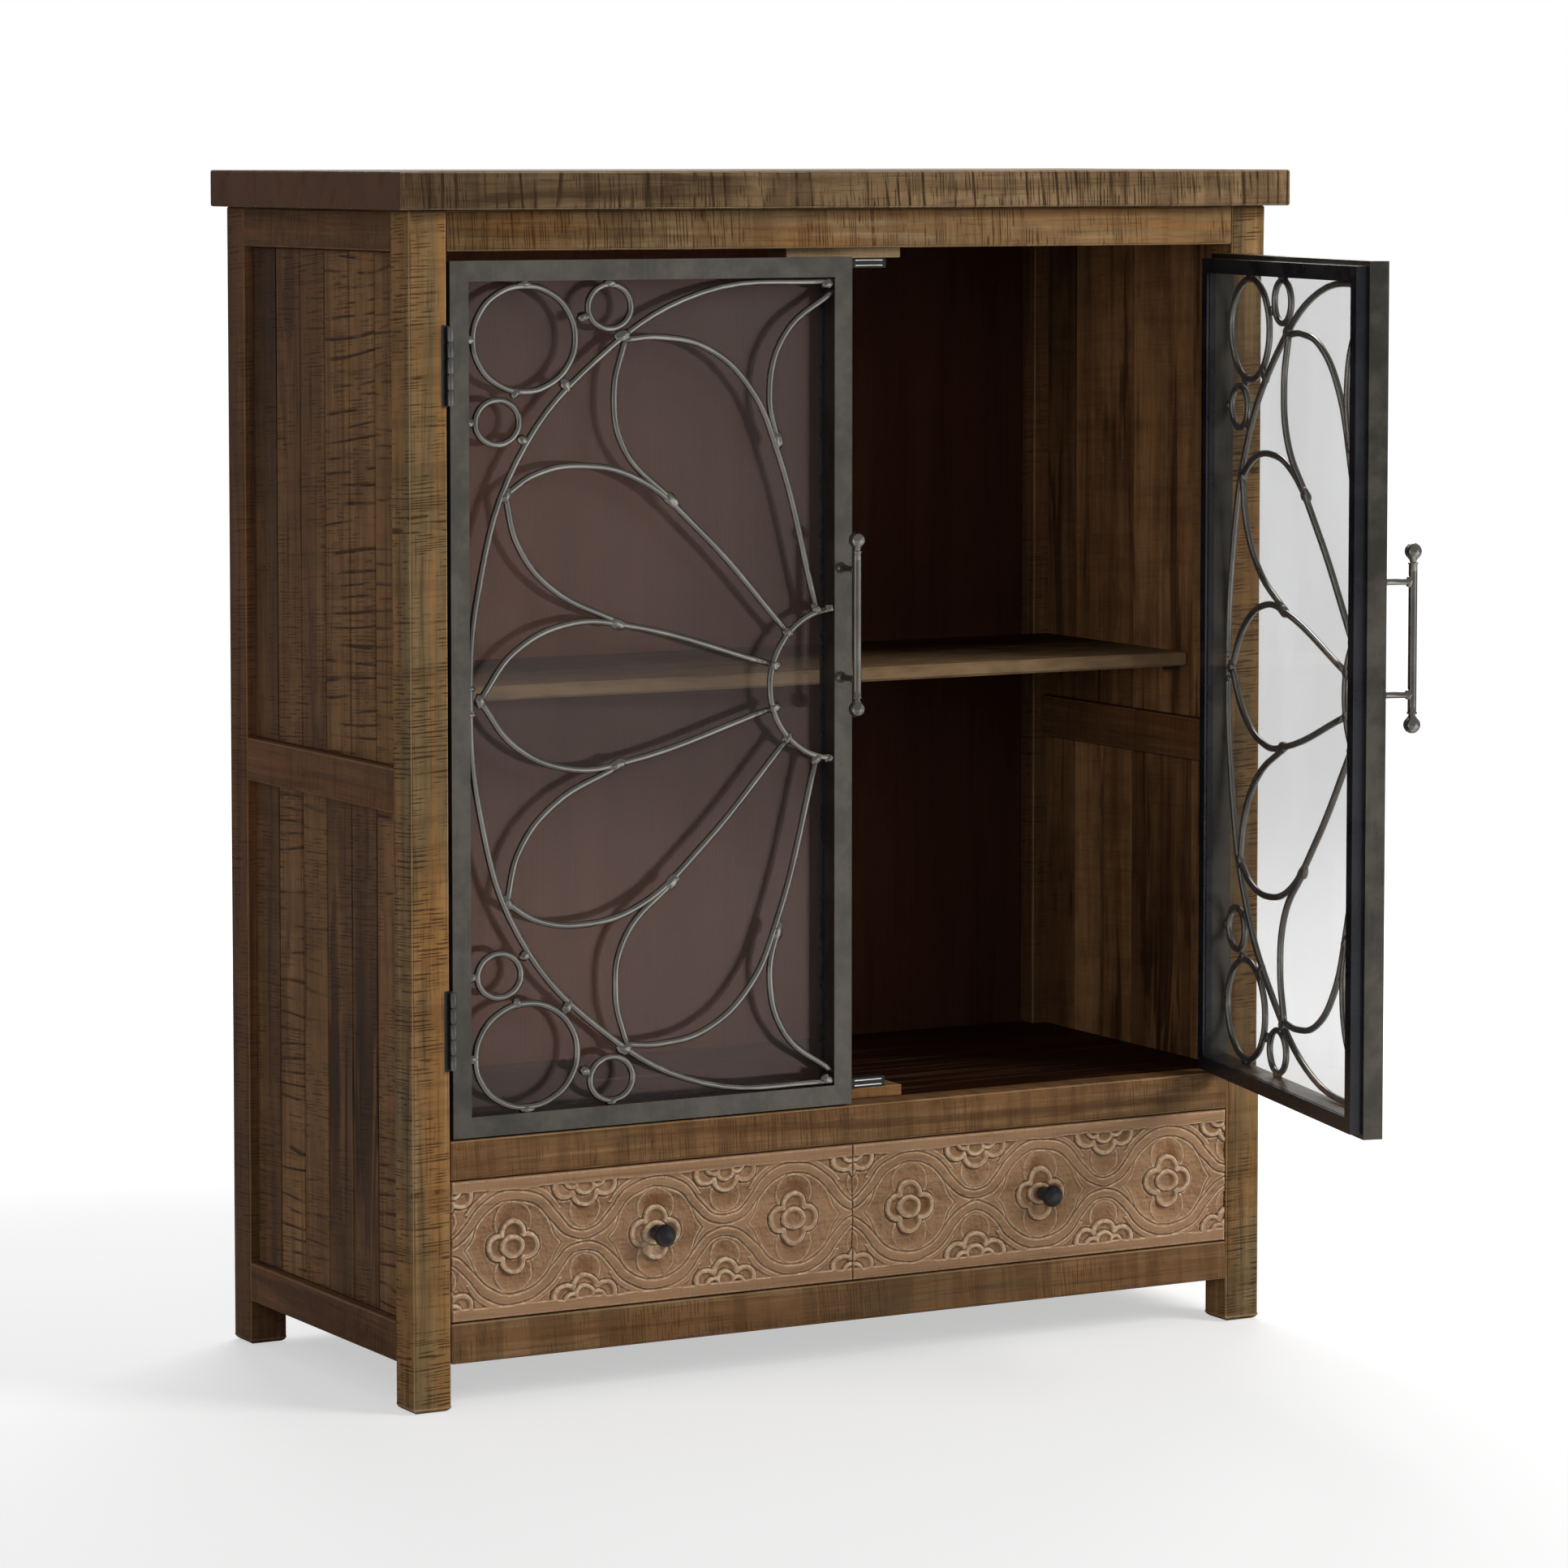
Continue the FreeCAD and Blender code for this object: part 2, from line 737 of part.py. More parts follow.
def drawer_bottom():
    x0, x1 = drawer_box_span()
    z0, z1 = drawer_bottom_levels()
    inset = drawer_side_thickness - drawer_groove_depth + drawer_groove_clearance
    return block(x0 + inset, x1 - inset, drawer_front_thickness, drawer_box_back, z0, z1)


def drawer_back():
    x0, x1 = drawer_box_span()
    t = drawer_side_thickness
    return block(x0 + t, x1 - t, drawer_box_back - drawer_back_thickness, drawer_box_back,
                 drawer_bottom_levels()[1], drawer_box_bottom + drawer_side_height - drawer_back_drop)


def drawer_knob():
    """Mushroom knob: stepped base, slim waist and a domed head, bored for its screw."""
    dome_rise = knob_height - knob_rim_height
    dome_radius = (knob_radius * knob_radius + dome_rise * dome_rise) / (2 * dome_rise)
    dome_centre = knob_height - dome_radius
    rim_angle = math.atan2(knob_rim_height - dome_centre, knob_radius)
    dome = ball_outline(dome_radius, dome_centre, rim_angle, knob_dome_pole_angle, knob_dome_chord_count)
    outline = [(knob_base_radius, 0), (knob_base_radius, knob_base_height),
               (knob_waist_radius, knob_waist_height)]
    shape = turned(outline + dome)
    bore = cylinder(knob_screw_radius + knob_screw_clearance, Vector(0, 0, -cut_over), Vector(0, 0, 1),
                    knob_screw_depth + cut_over)
    shape = shape.cut(bore)
    shape.rotate(Vector(0, 0, 0), Vector(1, 0, 0), 90)
    shape.translate(knob_place())
    return shape


def knob_screw():
    """Machine screw from inside the drawer into the knob."""
    shank_length = drawer_front_thickness + knob_screw_depth - knob_screw_tip_room
    shank = turned([(knob_screw_radius, 0), (knob_screw_radius, shank_length)], peg_flat_count)
    head_radius = knob_screw_head_radius
    head = turned([(head_radius, -knob_screw_head_height), (head_radius, 0)], peg_flat_count)
    screw = shank.fuse(head)
    screw.rotate(Vector(0, 0, 0), Vector(1, 0, 0), 90)
    screw.translate(knob_place() + Vector(0, drawer_front_thickness, 0))
    return screw


def build_carcass():
    export("top_slab", top_slab())
    export("front_top_rail", front_rail(top_rail_bottom, body_height))
    export("front_middle_rail", front_rail(drawer_opening_top, door_sill))
    export("front_bottom_rail", front_rail(foot_height, bottom_rail_top))
    export("back_rails", back_rails())
    export("back_panel", back_panel())
    export("cabinet_floor", cabinet_floor())
    export("floor_cleats", floor_cleats())
    export("shelf", shelf())
    export("shelf_pins", shelf_pins())
    export("centre_drawer_bearer", centre_bearer())
    export("upper_stop_block", upper_stop_block())
    export("lower_stop_block", lower_stop_block())
    export("magnetic_catches", magnetic_catches())
    export("catch_pole_plates", catch_pole_plates())
    export_pair("front_post", post(True))
    export_pair("rear_post", post(False))
    export_pair("side_top_rail", side_rail(top_rail_bottom, body_height))
    export_pair("side_middle_rail", side_rail(side_middle_rail_bottom, side_middle_rail_top))
    export_pair("side_bottom_rail", side_rail(foot_height, bottom_rail_top))
    export_pair("upper_planks", planks(side_middle_rail_top, top_rail_bottom))
    export_pair("lower_planks", planks(bottom_rail_top, side_middle_rail_bottom))
    export_pair("side_drawer_bearer", side_bearer())


def build_hinges():
    export_pair("post_hinge_leaves", group([hinge_leaf(height, True) for height in hinge_heights]))
    export_pair("hinge_pins", group([hinge_pin(height) for height in hinge_heights]))
    return group([hinge_leaf(height, False) for height in hinge_heights])


def build_doors():
    pieces = {
        "door_frame": door_frame(),
        "door_glass_frame": glass_frame(),
        "door_glass": door_glass(),
        "door_grille": grille(),
        "door_handle": handle(),
        "door_hinge_leaves": build_hinges(),
    }
    for name, shape in pieces.items():
        export("left_" + name, shape)
        export("right_" + name, swung(mirrored(shape)))


def build_drawers():
    export_pair("drawer_front", drawer_front())
    export_pair("drawer_sides", drawer_sides())
    export_pair("drawer_back", drawer_back())
    export_pair("drawer_bottom", drawer_bottom())
    export_pair("drawer_knob", drawer_knob())
    export_pair("drawer_knob_screw", knob_screw())


os.makedirs("parts", exist_ok=True)
build_carcass()
build_doors()
build_drawers()
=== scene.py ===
import math

import bmesh
import bpy
import numpy as np
from mathutils import Matrix, Vector, noise


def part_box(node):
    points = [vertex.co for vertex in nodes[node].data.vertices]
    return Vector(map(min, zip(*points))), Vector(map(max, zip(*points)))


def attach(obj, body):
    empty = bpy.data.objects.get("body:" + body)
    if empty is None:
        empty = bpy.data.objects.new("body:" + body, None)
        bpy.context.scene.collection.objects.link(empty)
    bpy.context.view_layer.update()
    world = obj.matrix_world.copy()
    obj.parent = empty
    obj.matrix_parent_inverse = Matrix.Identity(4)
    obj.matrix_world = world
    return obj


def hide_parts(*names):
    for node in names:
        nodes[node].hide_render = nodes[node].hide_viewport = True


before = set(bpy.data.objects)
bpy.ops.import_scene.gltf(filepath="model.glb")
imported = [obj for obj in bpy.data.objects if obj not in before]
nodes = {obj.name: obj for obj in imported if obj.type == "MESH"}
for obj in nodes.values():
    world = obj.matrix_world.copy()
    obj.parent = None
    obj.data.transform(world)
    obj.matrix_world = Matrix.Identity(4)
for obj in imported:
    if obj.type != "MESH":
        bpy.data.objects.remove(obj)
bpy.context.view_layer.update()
print("frame loaded:", len(nodes), "nodes")

camera = {"place": (-2.92407, -5.09737, 1.22975), "yaw": 29.159, "pitch": 4.5, "lens": 134.959, "rise": -0.11085}
lamps = {
    # place, aimed at, size, watts, colour
    "keySoftbox": ((2.9, -3.1, 2.6), (0.0, 0.1, 0.65), (1.8, 1.8), 150.0, (1.0, 0.985, 0.96)),
    "fillSoftbox": ((-2.6, -3.6, 1.7), (0.3, 0.3, 0.7), (1.5, 1.5), 32.0, (1.0, 0.99, 0.97)),
    "backSoftbox": ((1.3, 2.6, 3.2), (0.0, 0.1, 0.7), (2.6, 2.0), 110.0, (1.0, 1.0, 1.0)),
}
studio = {
    "skyLight": 0.30, "darkSide": 0.11, "floorColour": (0.50, 0.50, 0.505), "floorGlow": 0.52, "floorReach": 60.0,
    "paleFrom": 1.1, "paleTo": 2.6,
    # what gloss sees: toward, fades from, full at, strength
    "strips": (((0.55, -0.835, 0.0), 0.93, 0.985, 1.0), ((-0.985, -0.17, 0.0), 0.95, 0.99, 0.75)),
    # darker stretch of floor, mirrored in the glass at the shelf: starts, dark from, fades from, ends, share
    "darkBand": (6.9, 7.1, 8.3, 9.0, 0.65),
}


def linked(name, data):
    made = bpy.data.objects.new(name, data)
    bpy.context.scene.collection.objects.link(made)
    return made


def placeCamera():
    data = bpy.data.cameras.new("photoCamera")
    data.lens = camera["lens"]
    data.sensor_width = 36.0
    data.shift_y = camera["rise"]
    data.clip_end = 100.0
    holder = linked("photoCamera", data)
    holder.location = camera["place"]
    holder.rotation_euler = (math.radians(90 - camera["pitch"]), 0, -math.radians(camera["yaw"]))
    bpy.context.scene.camera = holder


def placeLamps():
    for name, (place, target, size, watts, colour) in lamps.items():
        data = bpy.data.lights.new(name, "AREA")
        data.shape = "RECTANGLE"
        data.size, data.size_y = size
        data.energy = watts
        data.color = colour
        holder = linked(name, data)
        holder.location = place
        aim = Vector(target) - Vector(place)
        holder.rotation_euler = aim.to_track_quat("-Z", "Y").to_euler()
        holder.visible_transmission = False
        holder.visible_glossy = name == "backSoftbox"


def addNode(tree, kind, **values):
    node = tree.nodes.new("ShaderNode" + kind)
    for key, value in values.items():
        setattr(node, key, value)
    return node


def feed(socket, value):
    # links a socket, sets a colour or a plain value
    if isinstance(value, bpy.types.NodeSocket):
        socket.id_data.links.new(value, socket)
    else:
        socket.default_value = (*value, 1.0) if socket.type == "RGBA" else value


def feedAll(node, values):
    for label, value in values.items():
        feed(node.inputs[label], value)


def treeOf(*values):
    # the node tree of the first socket among the values
    return next(value.id_data for value in values if isinstance(value, bpy.types.NodeSocket))


def maths(operation, a, b=0.0, clamp=False):
    node = addNode(treeOf(a, b), "Math", operation=operation, use_clamp=clamp)
    feed(node.inputs[0], a)
    feed(node.inputs[1], b)
    return node.outputs[0]


def times(a, b, clamp=False):
    return maths("MULTIPLY", a, b, clamp)


def plus(a, b, clamp=False):
    return maths("ADD", a, b, clamp)


def minus(a, b, clamp=False):
    return maths("SUBTRACT", a, b, clamp)


def larger(a, b):
    return maths("MAXIMUM", a, b)


def vectorMaths(operation, *values):
    node = addNode(treeOf(*values), "VectorMath", operation=operation)
    for socket, value in zip(node.inputs, values):
        feed(socket, value)
    return node.outputs["Value" if operation in ("DOT_PRODUCT", "LENGTH") else "Vector"]


def partsOf(vector):
    node = addNode(vector.id_data, "SeparateXYZ")
    feed(node.inputs[0], vector)
    return node.outputs


def joined(*values):
    node = addNode(treeOf(*values), "CombineXYZ")
    for socket, value in zip(node.inputs, values):
        feed(socket, value)
    return node.outputs[0]


def noiseOf(vector, scale, detail=2.0, rough=0.5, twist=0.0):
    node = addNode(vector.id_data, "TexNoise")
    feedAll(node, {"Vector": vectorMaths("MULTIPLY", vector, scale), "Scale": 1.0, "Detail": detail,
                   "Roughness": rough, "Distortion": twist})
    return node.outputs["Fac"]


def between(value, low, high):
    # smooth step from 0 at low to 1 at high
    node = addNode(value.id_data, "MapRange", interpolation_type="SMOOTHSTEP")
    feedAll(node, {"Value": value, "From Min": low, "From Max": high})
    return node.outputs["Result"]


def blended(factor, a, b, way="MIX"):
    node = addNode(treeOf(factor, a, b), "Mix", data_type="RGBA", blend_type=way)
    feed(node.inputs[0], factor)
    feed(node.inputs[6], a)
    feed(node.inputs[7], b)
    return node.outputs[2]


def newGroup(name, **inputs):
    # every group gives a colour, a roughness and a height
    tree = bpy.data.node_groups.new(name, "ShaderNodeTree")
    for way, kinds in (("INPUT", inputs), ("OUTPUT", {"Color": "Color", "Float": "Roughness Height"})):
        for kind, labels in kinds.items():
            for label in labels.split():
                tree.interface.new_socket(label, in_out=way, socket_type="NodeSocket" + kind)
    return tree, tree.nodes.new("NodeGroupInput").outputs, tree.nodes.new("NodeGroupOutput").inputs


def strokesOf(place, perMetre, wander, width, run):
    # saw strokes across the grain, sharp on one side, each with its own strength
    shift = noiseOf(place, (perMetre * 0.23, 3.5, 3.5), 1)
    count = plus(times(partsOf(place)[0], perMetre), times(shift, wander))
    stroke = minus(1.0, between(maths("FRACT", count), width * 0.35, width))
    strength = between(noiseOf(place, (perMetre * 0.9, run, run), 1), 0.42, 0.55)
    return times(stroke, strength)


grainMarks = {
    # scale along and across the grain, detail, roughness, twist, shows from, full at
    "pore": (16, 480, 3, 0.65, 0.0, 0.53, 0.68),
    "hue": (1.9, 20, 3, 0.6, 0.4, 0.40, 0.60),
    "figure": (2.0, 27, 4, 0.6, 0.8, 0.56, 0.64),
    "heart": (2.6, 30, 4, 0.62, 1.1, 0.45, 0.52),
    "cloud": (11, 19, 4, 0.65, 0.0, 0.42, 0.66),
    "kerfPatch": (5, 9, 2, 0.6, 0.0, 0.38, 0.5),
    "hatchPatch": (9, 15, 4, 0.68, 0.0, 0.40, 0.55),
}
sawStrokes = {"kerf": (66, 3.0, 0.24, 12), "hatch": (270, 5.0, 0.5, 42)}  # per metre, wander, width, run
sawLean = (0.07, 0.05)  # saw marks lean a few degrees off square
endColours = ((0.120, 0.056, 0.032), (0.085, 0.042, 0.026))


def makeSawnWood():
    # rough-sawn waxed wood, Place runs along the grain in X
    tree, given, result = newGroup("sawnWood", Vector="Place", Color="Base Second Deep Pale",
                                   Float="Tone Wear Dim End Stain Kerf Hatch Bars Blotch Spread")
    apart = joined(*(times(given["Tone"], far) for far in (31.0, 17.0, 23.0)))  # each board has its own figure
    place = vectorMaths("ADD", given["Place"], apart)
    x, y, z = partsOf(place)
    sawn = joined(plus(x, plus(times(y, sawLean[0]), times(z, sawLean[1]))), y, z)
    streak = noiseOf(place, (3.0, 105, 105), 5, 0.65, 0.3)
    marks = {name: between(noiseOf(place, (along, across, across), detail, rough, twist), low, high)
             for name, (along, across, detail, rough, twist, low, high) in grainMarks.items()}
    bars = between(noiseOf(sawn, (44, 3, 3), 3, 0.6), 0.48, 0.6)
    # coarse saw marks are stronger on the paler boards, fine ones come in patches
    board = plus(0.22, times(between(given["Tone"], 0.4, 0.7), 0.78))
    kerf = times(strokesOf(sawn, *sawStrokes["kerf"]), marks["kerfPatch"])
    kerf = times(kerf, times(given["Kerf"], board), True)
    kerf = times(kerf, plus(0.55, times(streak, 0.8)), True)
    hatch = times(strokesOf(sawn, *sawStrokes["hatch"]), marks["hatchPatch"])
    hatch = times(hatch, given["Hatch"], True)
    # long bands of another hue, redder on the darker boards
    hueShare = plus(times(marks["hue"], 0.85), times(minus(0.6, given["Tone"]), 0.7), True)
    colour = blended(hueShare, given["Base"], given["Second"])
    for mark, share, top in ((between(streak, 0.5, 0.72), 0.30, "Pale"),
                             (minus(1.0, between(streak, 0.3, 0.48)), 0.5, "Deep"), (bars, given["Bars"], "Deep"),
                             (marks["cloud"], times(given["Blotch"], 0.5), "Deep"),
                             (marks["figure"], given["Blotch"], "Deep"),
                             (marks["heart"], times(given["Stain"], 0.85), "Deep"), (marks["pore"], 0.35, "Deep")):
        colour = blended(times(mark, share), colour, given[top])
    # each board has its own tone; Dim darkens open joints and carries painted shade and painted light along some
    # boards
    brightness = plus(1.0, times(minus(given["Tone"], 0.5), given["Spread"]))
    brightness = minus(brightness, given["Dim"])
    colour = blended(1.0, colour, joined(brightness, brightness, brightness), "MULTIPLY")
    for cut, share in ((hatch, 0.8), (kerf, 0.9)):
        colour = blended(times(cut, share), colour, given["Deep"])
    # worn arrises are paler, cut ends darker
    rub = minus(times(noiseOf(place, (26, 90, 90), 3), 1.1), 1.1)
    rub = plus(times(given["Wear"], 1.5), rub, True)
    colour = blended(times(rub, 0.7), colour, given["Pale"])
    colour = blended(times(given["End"], 0.92), colour, blended(times(marks["hue"], 0.5), *endColours))
    feed(result["Color"], colour)
    feed(result["Roughness"], plus(plus(0.56, times(streak, 0.16)), times(hatch, 0.12)))
    height = times(streak, 0.35)
    for cut, share in ((kerf, 0.8), (hatch, 0.4), (marks["pore"], 0.12)):
        height = minus(height, times(cut, share))
    feed(result["Height"], times(height, minus(1.0, given["End"])))
    return tree


def makeForgedSkin():
    # lacquered iron: soft cloudy tone, fine scratches and rubbed edges
    tree, given, result = newGroup("forgedSkin", Vector="Place", Color="Base Pale", Float="Rough Wear")
    cloud = between(noiseOf(given["Place"], (22, 22, 22), 4, 0.6), 0.35, 0.7)
    grain = noiseOf(given["Place"], (600, 600, 600), 3, 0.6)
    scratch = between(noiseOf(given["Place"], (500, 500, 12), 2), 0.6, 0.75)
    colour = given["Base"]
    for mark, share in ((cloud, 0.55), (scratch, 0.25), (given["Wear"], 0.6)):
        colour = blended(times(mark, share), colour, given["Pale"])
    feed(result["Color"], colour)
    feed(result["Roughness"], plus(given["Rough"], times(minus(cloud, 0.5), 0.12)))
    feed(result["Height"], plus(times(grain, 0.5), times(cloud, 0.6)))
    return tree


sawnWood = makeSawnWood()
forgedSkin = makeForgedSkin()

turnToGrain = {"X": (0, 0, 0), "Y": (0, 0, math.radians(-90)), "Z": (0, math.radians(90), 0)}


def newMaterial(name):
    material = bpy.data.materials.new(name)
    material.use_nodes = True
    tree = material.node_tree
    return material, tree, tree.nodes["Principled BSDF"]


def placeOn(tree, turn=(0, 0, 0)):
    mapping = addNode(tree, "Mapping", vector_type="POINT")
    feedAll(mapping, {"Rotation": turn, "Vector": addNode(tree, "TexCoord").outputs["Object"]})
    return mapping.outputs["Vector"]


def attributeOf(tree, name):
    return addNode(tree, "Attribute", attribute_name=name).outputs["Fac"]


def bumpFrom(shader, height, strength, distance):
    bump = addNode(shader.id_data, "Bump")
    feedAll(bump, {"Strength": strength, "Distance": distance, "Height": height})
    feed(shader.inputs["Normal"], bump.outputs["Normal"])


woodLabels = ("Base", "Second", "Deep", "Pale", "Kerf", "Hatch", "Bars", "Blotch", "Spread")
woods = {
    # grain, base, second, deep, pale, kerf, hatch, bars, blotch, spread
    "frontPostWood": ("Z", (0.325, 0.162, 0.054), (0.200, 0.138, 0.066), (0.042, 0.018, 0.008), (0.54, 0.36, 0.18),
                      0.7, 1.0, 0.24, 0.42, 0.2),
    "topRailWood": ("X", (0.245, 0.118, 0.040), (0.205, 0.135, 0.068), (0.050, 0.022, 0.008), (0.48, 0.32, 0.18),
                    0.5, 1.0, 0.25, 0.40, 0.2),
    "frontRailWood": ("X", (0.200, 0.102, 0.043), (0.180, 0.112, 0.057), (0.066, 0.033, 0.015), (0.44, 0.30, 0.16),
                      0.2, 0.7, 0.36, 0.50, 0.2),
    "sidePostWood": ("Z", (0.150, 0.064, 0.027), (0.105, 0.055, 0.025), (0.036, 0.016, 0.008), (0.32, 0.18, 0.09),
                     0.4, 0.7, 0.15, 0.40, 0.3),
    "sideRailWood": ("Y", (0.172, 0.073, 0.029), (0.125, 0.063, 0.028), (0.036, 0.016, 0.008), (0.32, 0.18, 0.09),
                     0.2, 0.6, 0.15, 0.40, 0.3),
    "plankWood": ("Z", (0.222, 0.114, 0.046), (0.155, 0.078, 0.037), (0.030, 0.012, 0.007), (0.36, 0.22, 0.10),
                  1.0, 0.7, 0.15, 0.45, 0.9),
    "topWood": ("X", (0.262, 0.166, 0.084), (0.185, 0.118, 0.058), (0.036, 0.020, 0.011), (0.44, 0.33, 0.21),
                1.0, 1.0, 0.42, 0.50, 0.3),
    "innerWood": ("X", (0.036, 0.0105, 0.0045), (0.026, 0.008, 0.0037), (0.010, 0.0035, 0.0018), (0.30, 0.20, 0.11),
                  0.0, 0.15, 0.0, 0.30, 0.3),
    "backWood": ("Z", (0.036, 0.0130, 0.0066), (0.028, 0.0105, 0.0054), (0.020, 0.007, 0.0035), (0.042, 0.016, 0.008),
                 0.0, 0.1, 0.0, 0.30, 0.3),
    "boxWood": ("Y", (0.46, 0.32, 0.19), (0.40, 0.27, 0.15), (0.22, 0.13, 0.07), (0.62, 0.47, 0.30),
                0.0, 0.2, 0.0, 0.25, 0.2),
    "blockWood": ("X", (0.50, 0.36, 0.21), (0.42, 0.29, 0.16), (0.24, 0.15, 0.08), (0.66, 0.52, 0.34),
                  0.0, 0.4, 0.1, 0.25, 0.2),
    "lowBlockWood": ("X", (0.30, 0.15, 0.06), (0.24, 0.13, 0.05), (0.08, 0.04, 0.02), (0.50, 0.34, 0.18),
                     0.0, 0.4, 0.1, 0.25, 0.2),
}
insideChanges = {
    # where the inside attribute is 1: planks are planed, unstained and paler, the paleness partly painted light on
    # the inner walls; the slab is sanded on top
    "plankWood": {"Base": (0.345, 0.176, 0.073), "Second": (0.190, 0.090, 0.039), "Deep": (0.034, 0.013, 0.006),
                  "Kerf": -1.0, "Hatch": -0.5, "Blotch": 0.25},
    "topWood": {"Kerf": -0.75, "Hatch": -0.7, "Bars": -0.32},
}


def woodIn(tree, wood, *attributes):
    grain, *values = wood
    group = addNode(tree, "Group", node_tree=sawnWood)
    feed(group.inputs["Place"], placeOn(tree, turnToGrain[grain]))
    for label in attributes:
        feed(group.inputs[label], attributeOf(tree, label.lower()))
    feedAll(group, dict(zip(woodLabels, values)))
    return group


def makeWood(name):
    material, tree, shader = newMaterial(name)
    wood = woodIn(tree, woods[name], "Tone", "Wear", "Dim", "End", "Stain")
    outer = dict(zip(woodLabels, woods[name][1:]))
    for label, change in insideChanges.get(name, {}).items():
        inside = attributeOf(tree, "inside")
        feed(wood.inputs[label], blended(inside, outer[label], change) if isinstance(change, tuple)
             else plus(outer[label], times(inside, change)))
    feedAll(shader, {"Base Color": wood.outputs["Color"], "Roughness": wood.outputs["Roughness"],
                     "Specular IOR Level": 0.04 if name in ("innerWood", "backWood") else 0.1})
    bumpFrom(shader, wood.outputs["Height"], 0.8, 0.0013)
    return material


metals = {
    # base, pale, roughness, metallic, height of the bumps
    "gunmetal": ((0.074, 0.070, 0.060), (0.182, 0.164, 0.138), 0.34, 0.85, 0.0004),
    "rodIron": ((0.225, 0.213, 0.194), (0.36, 0.34, 0.31), 0.12, 0.95, 0.00007),
    "frameBlack": ((0.012, 0.013, 0.018), (0.035, 0.037, 0.045), 0.30, 0.2, 0.0004),
    "hingeSteel": ((0.13, 0.128, 0.12), (0.30, 0.29, 0.28), 0.36, 0.8, 0.0004),
    "brightSteel": ((0.62, 0.62, 0.60), (0.80, 0.80, 0.78), 0.22, 1.0, 0.0003),
    "knobBlack": ((0.005, 0.005, 0.006), (0.016, 0.016, 0.018), 0.34, 0.0, 0.0003),
}


def makeMetal(name):
    base, pale, rough, metallic, bumps = metals[name]
    material, tree, shader = newMaterial(name)
    skin = addNode(tree, "Group", node_tree=forgedSkin)
    feedAll(skin, {"Place": placeOn(tree), "Wear": attributeOf(tree, "wear"), "Base": base, "Pale": pale,
                   "Rough": rough})
    feedAll(shader, {"Base Color": skin.outputs["Color"], "Roughness": skin.outputs["Roughness"],
                     "Metallic": metallic})
    bumpFrom(shader, skin.outputs["Height"], 0.35, bumps)
    return material


carvedTones = {
    "wood": ("X", (0.375, 0.222, 0.122), (0.325, 0.192, 0.108), (0.150, 0.078, 0.038), (0.42, 0.27, 0.16),
             0.0, 0.2, 0.0, 0.3, 0.1),
    # hollow and groove: dark wax and painted shade; lip: rubbed pale and a painted highlight
    "hollow": (0.175, 0.078, 0.030), "groove": (0.100, 0.051, 0.025), "lip": (0.68, 0.51, 0.35),
    # scale, detail, roughness, shows from, full at
    "dustAndHighlight": (150, 4, 0.7, 0.36, 0.62), "rustAndShade": (17, 3, 0.6, 0.46, 0.62), "grimeAndShade": (60, 4, 0.7, 0.35, 0.6),
}


def makeCarvedWood():
    # rubbed carving: hollows and grooves darker with wax and painted shade, lips paler with wear and a painted
    # highlight, all from the piece's own attributes
    material, tree, shader = newMaterial("carvedWood")
    wood = woodIn(tree, carvedTones["wood"], "Tone")
    place = placeOn(tree)

    def patches(name):
        scale, detail, rough, low, high = carvedTones[name]
        return between(noiseOf(place, (scale, scale, scale), detail, rough), low, high)
    hollow = times(attributeOf(tree, "hollow"), plus(0.32, times(patches("rustAndShade"), 0.5)))
    groove = times(attributeOf(tree, "groove"), plus(0.45, times(patches("grimeAndShade"), 0.6)), True)
    lip = times(attributeOf(tree, "lip"), plus(0.3, times(patches("dustAndHighlight"), 0.8)), True)
    colour = blended(hollow, wood.outputs["Color"], carvedTones["hollow"])
    colour = blended(times(groove, 0.7), colour, carvedTones["groove"])
    colour = blended(times(lip, 0.95), colour, carvedTones["lip"])
    feedAll(shader, {"Base Color": colour, "Roughness": wood.outputs["Roughness"], "Specular IOR Level": 0.15})
    grit = noiseOf(place, (420, 420, 420), 3, 0.6)
    bumpFrom(shader, plus(times(wood.outputs["Height"], 0.5), times(grit, 0.3)), 0.6, 0.0009)
    return material


def makeGlass():
    material, tree, shader = newMaterial("doorGlass")
    haze = between(noiseOf(placeOn(tree), (5, 5, 3), 3, 0.6), 0.35, 0.65)
    shade = addNode(tree, "LightPath").outputs["Is Shadow Ray"]  # daylight passes the pane
    feedAll(shader, {"Base Color": blended(haze, (0.73, 0.73, 0.725), (0.68, 0.68, 0.67)), "Roughness": 0.0,
                     "Transmission Weight": 0.982, "Metallic": 0.0, "IOR": 1.32, "Specular Tint": (1.0, 0.68, 0.59),
                     "Alpha": minus(1.0, times(shade, 0.97))})
    return material


def makePlastic():
    material, tree, shader = newMaterial("catchPlastic")
    speck = noiseOf(placeOn(tree), (900, 900, 900), 2)
    feedAll(shader, {"Base Color": blended(speck, (0.012, 0.012, 0.013), (0.022, 0.022, 0.024)),
                     "Roughness": plus(0.4, times(speck, 0.2))})
    bumpFrom(shader, speck, 0.2, 0.0002)
    return material


materials = {name: makeWood(name) for name in woods}
materials.update({name: makeMetal(name) for name in metals})
materials["carvedWood"] = makeCarvedWood()
materials["doorGlass"] = makeGlass()
materials["catchPlastic"] = makePlastic()
print("materials made:", len(materials))


def whiteToCamera(plain, glow, direction, lit=0.0, dull=None):
    # camera rays, and those through glass, see the white; gloss sees the strips and what is lit, the rest dark
    path = addNode(direction.id_data, "LightPath").outputs
    for toward, fadesFrom, fullAt, strength in studio["strips"]:
        strip = between(vectorMaths("DOT_PRODUCT", direction, toward), fadesFrom, fullAt)
        lit = larger(times(strip, strength), lit)
    if dull is not None:
        lit = times(lit, minus(1.0, dull))
    lit = plus(studio["darkSide"], times(lit, 1 - studio["darkSide"]))
    seen = larger(path["Is Camera Ray"], path["Is Transmission Ray"])
    seen = larger(seen, times(path["Is Glossy Ray"], lit))
    return larger(plain, times(seen, glow))


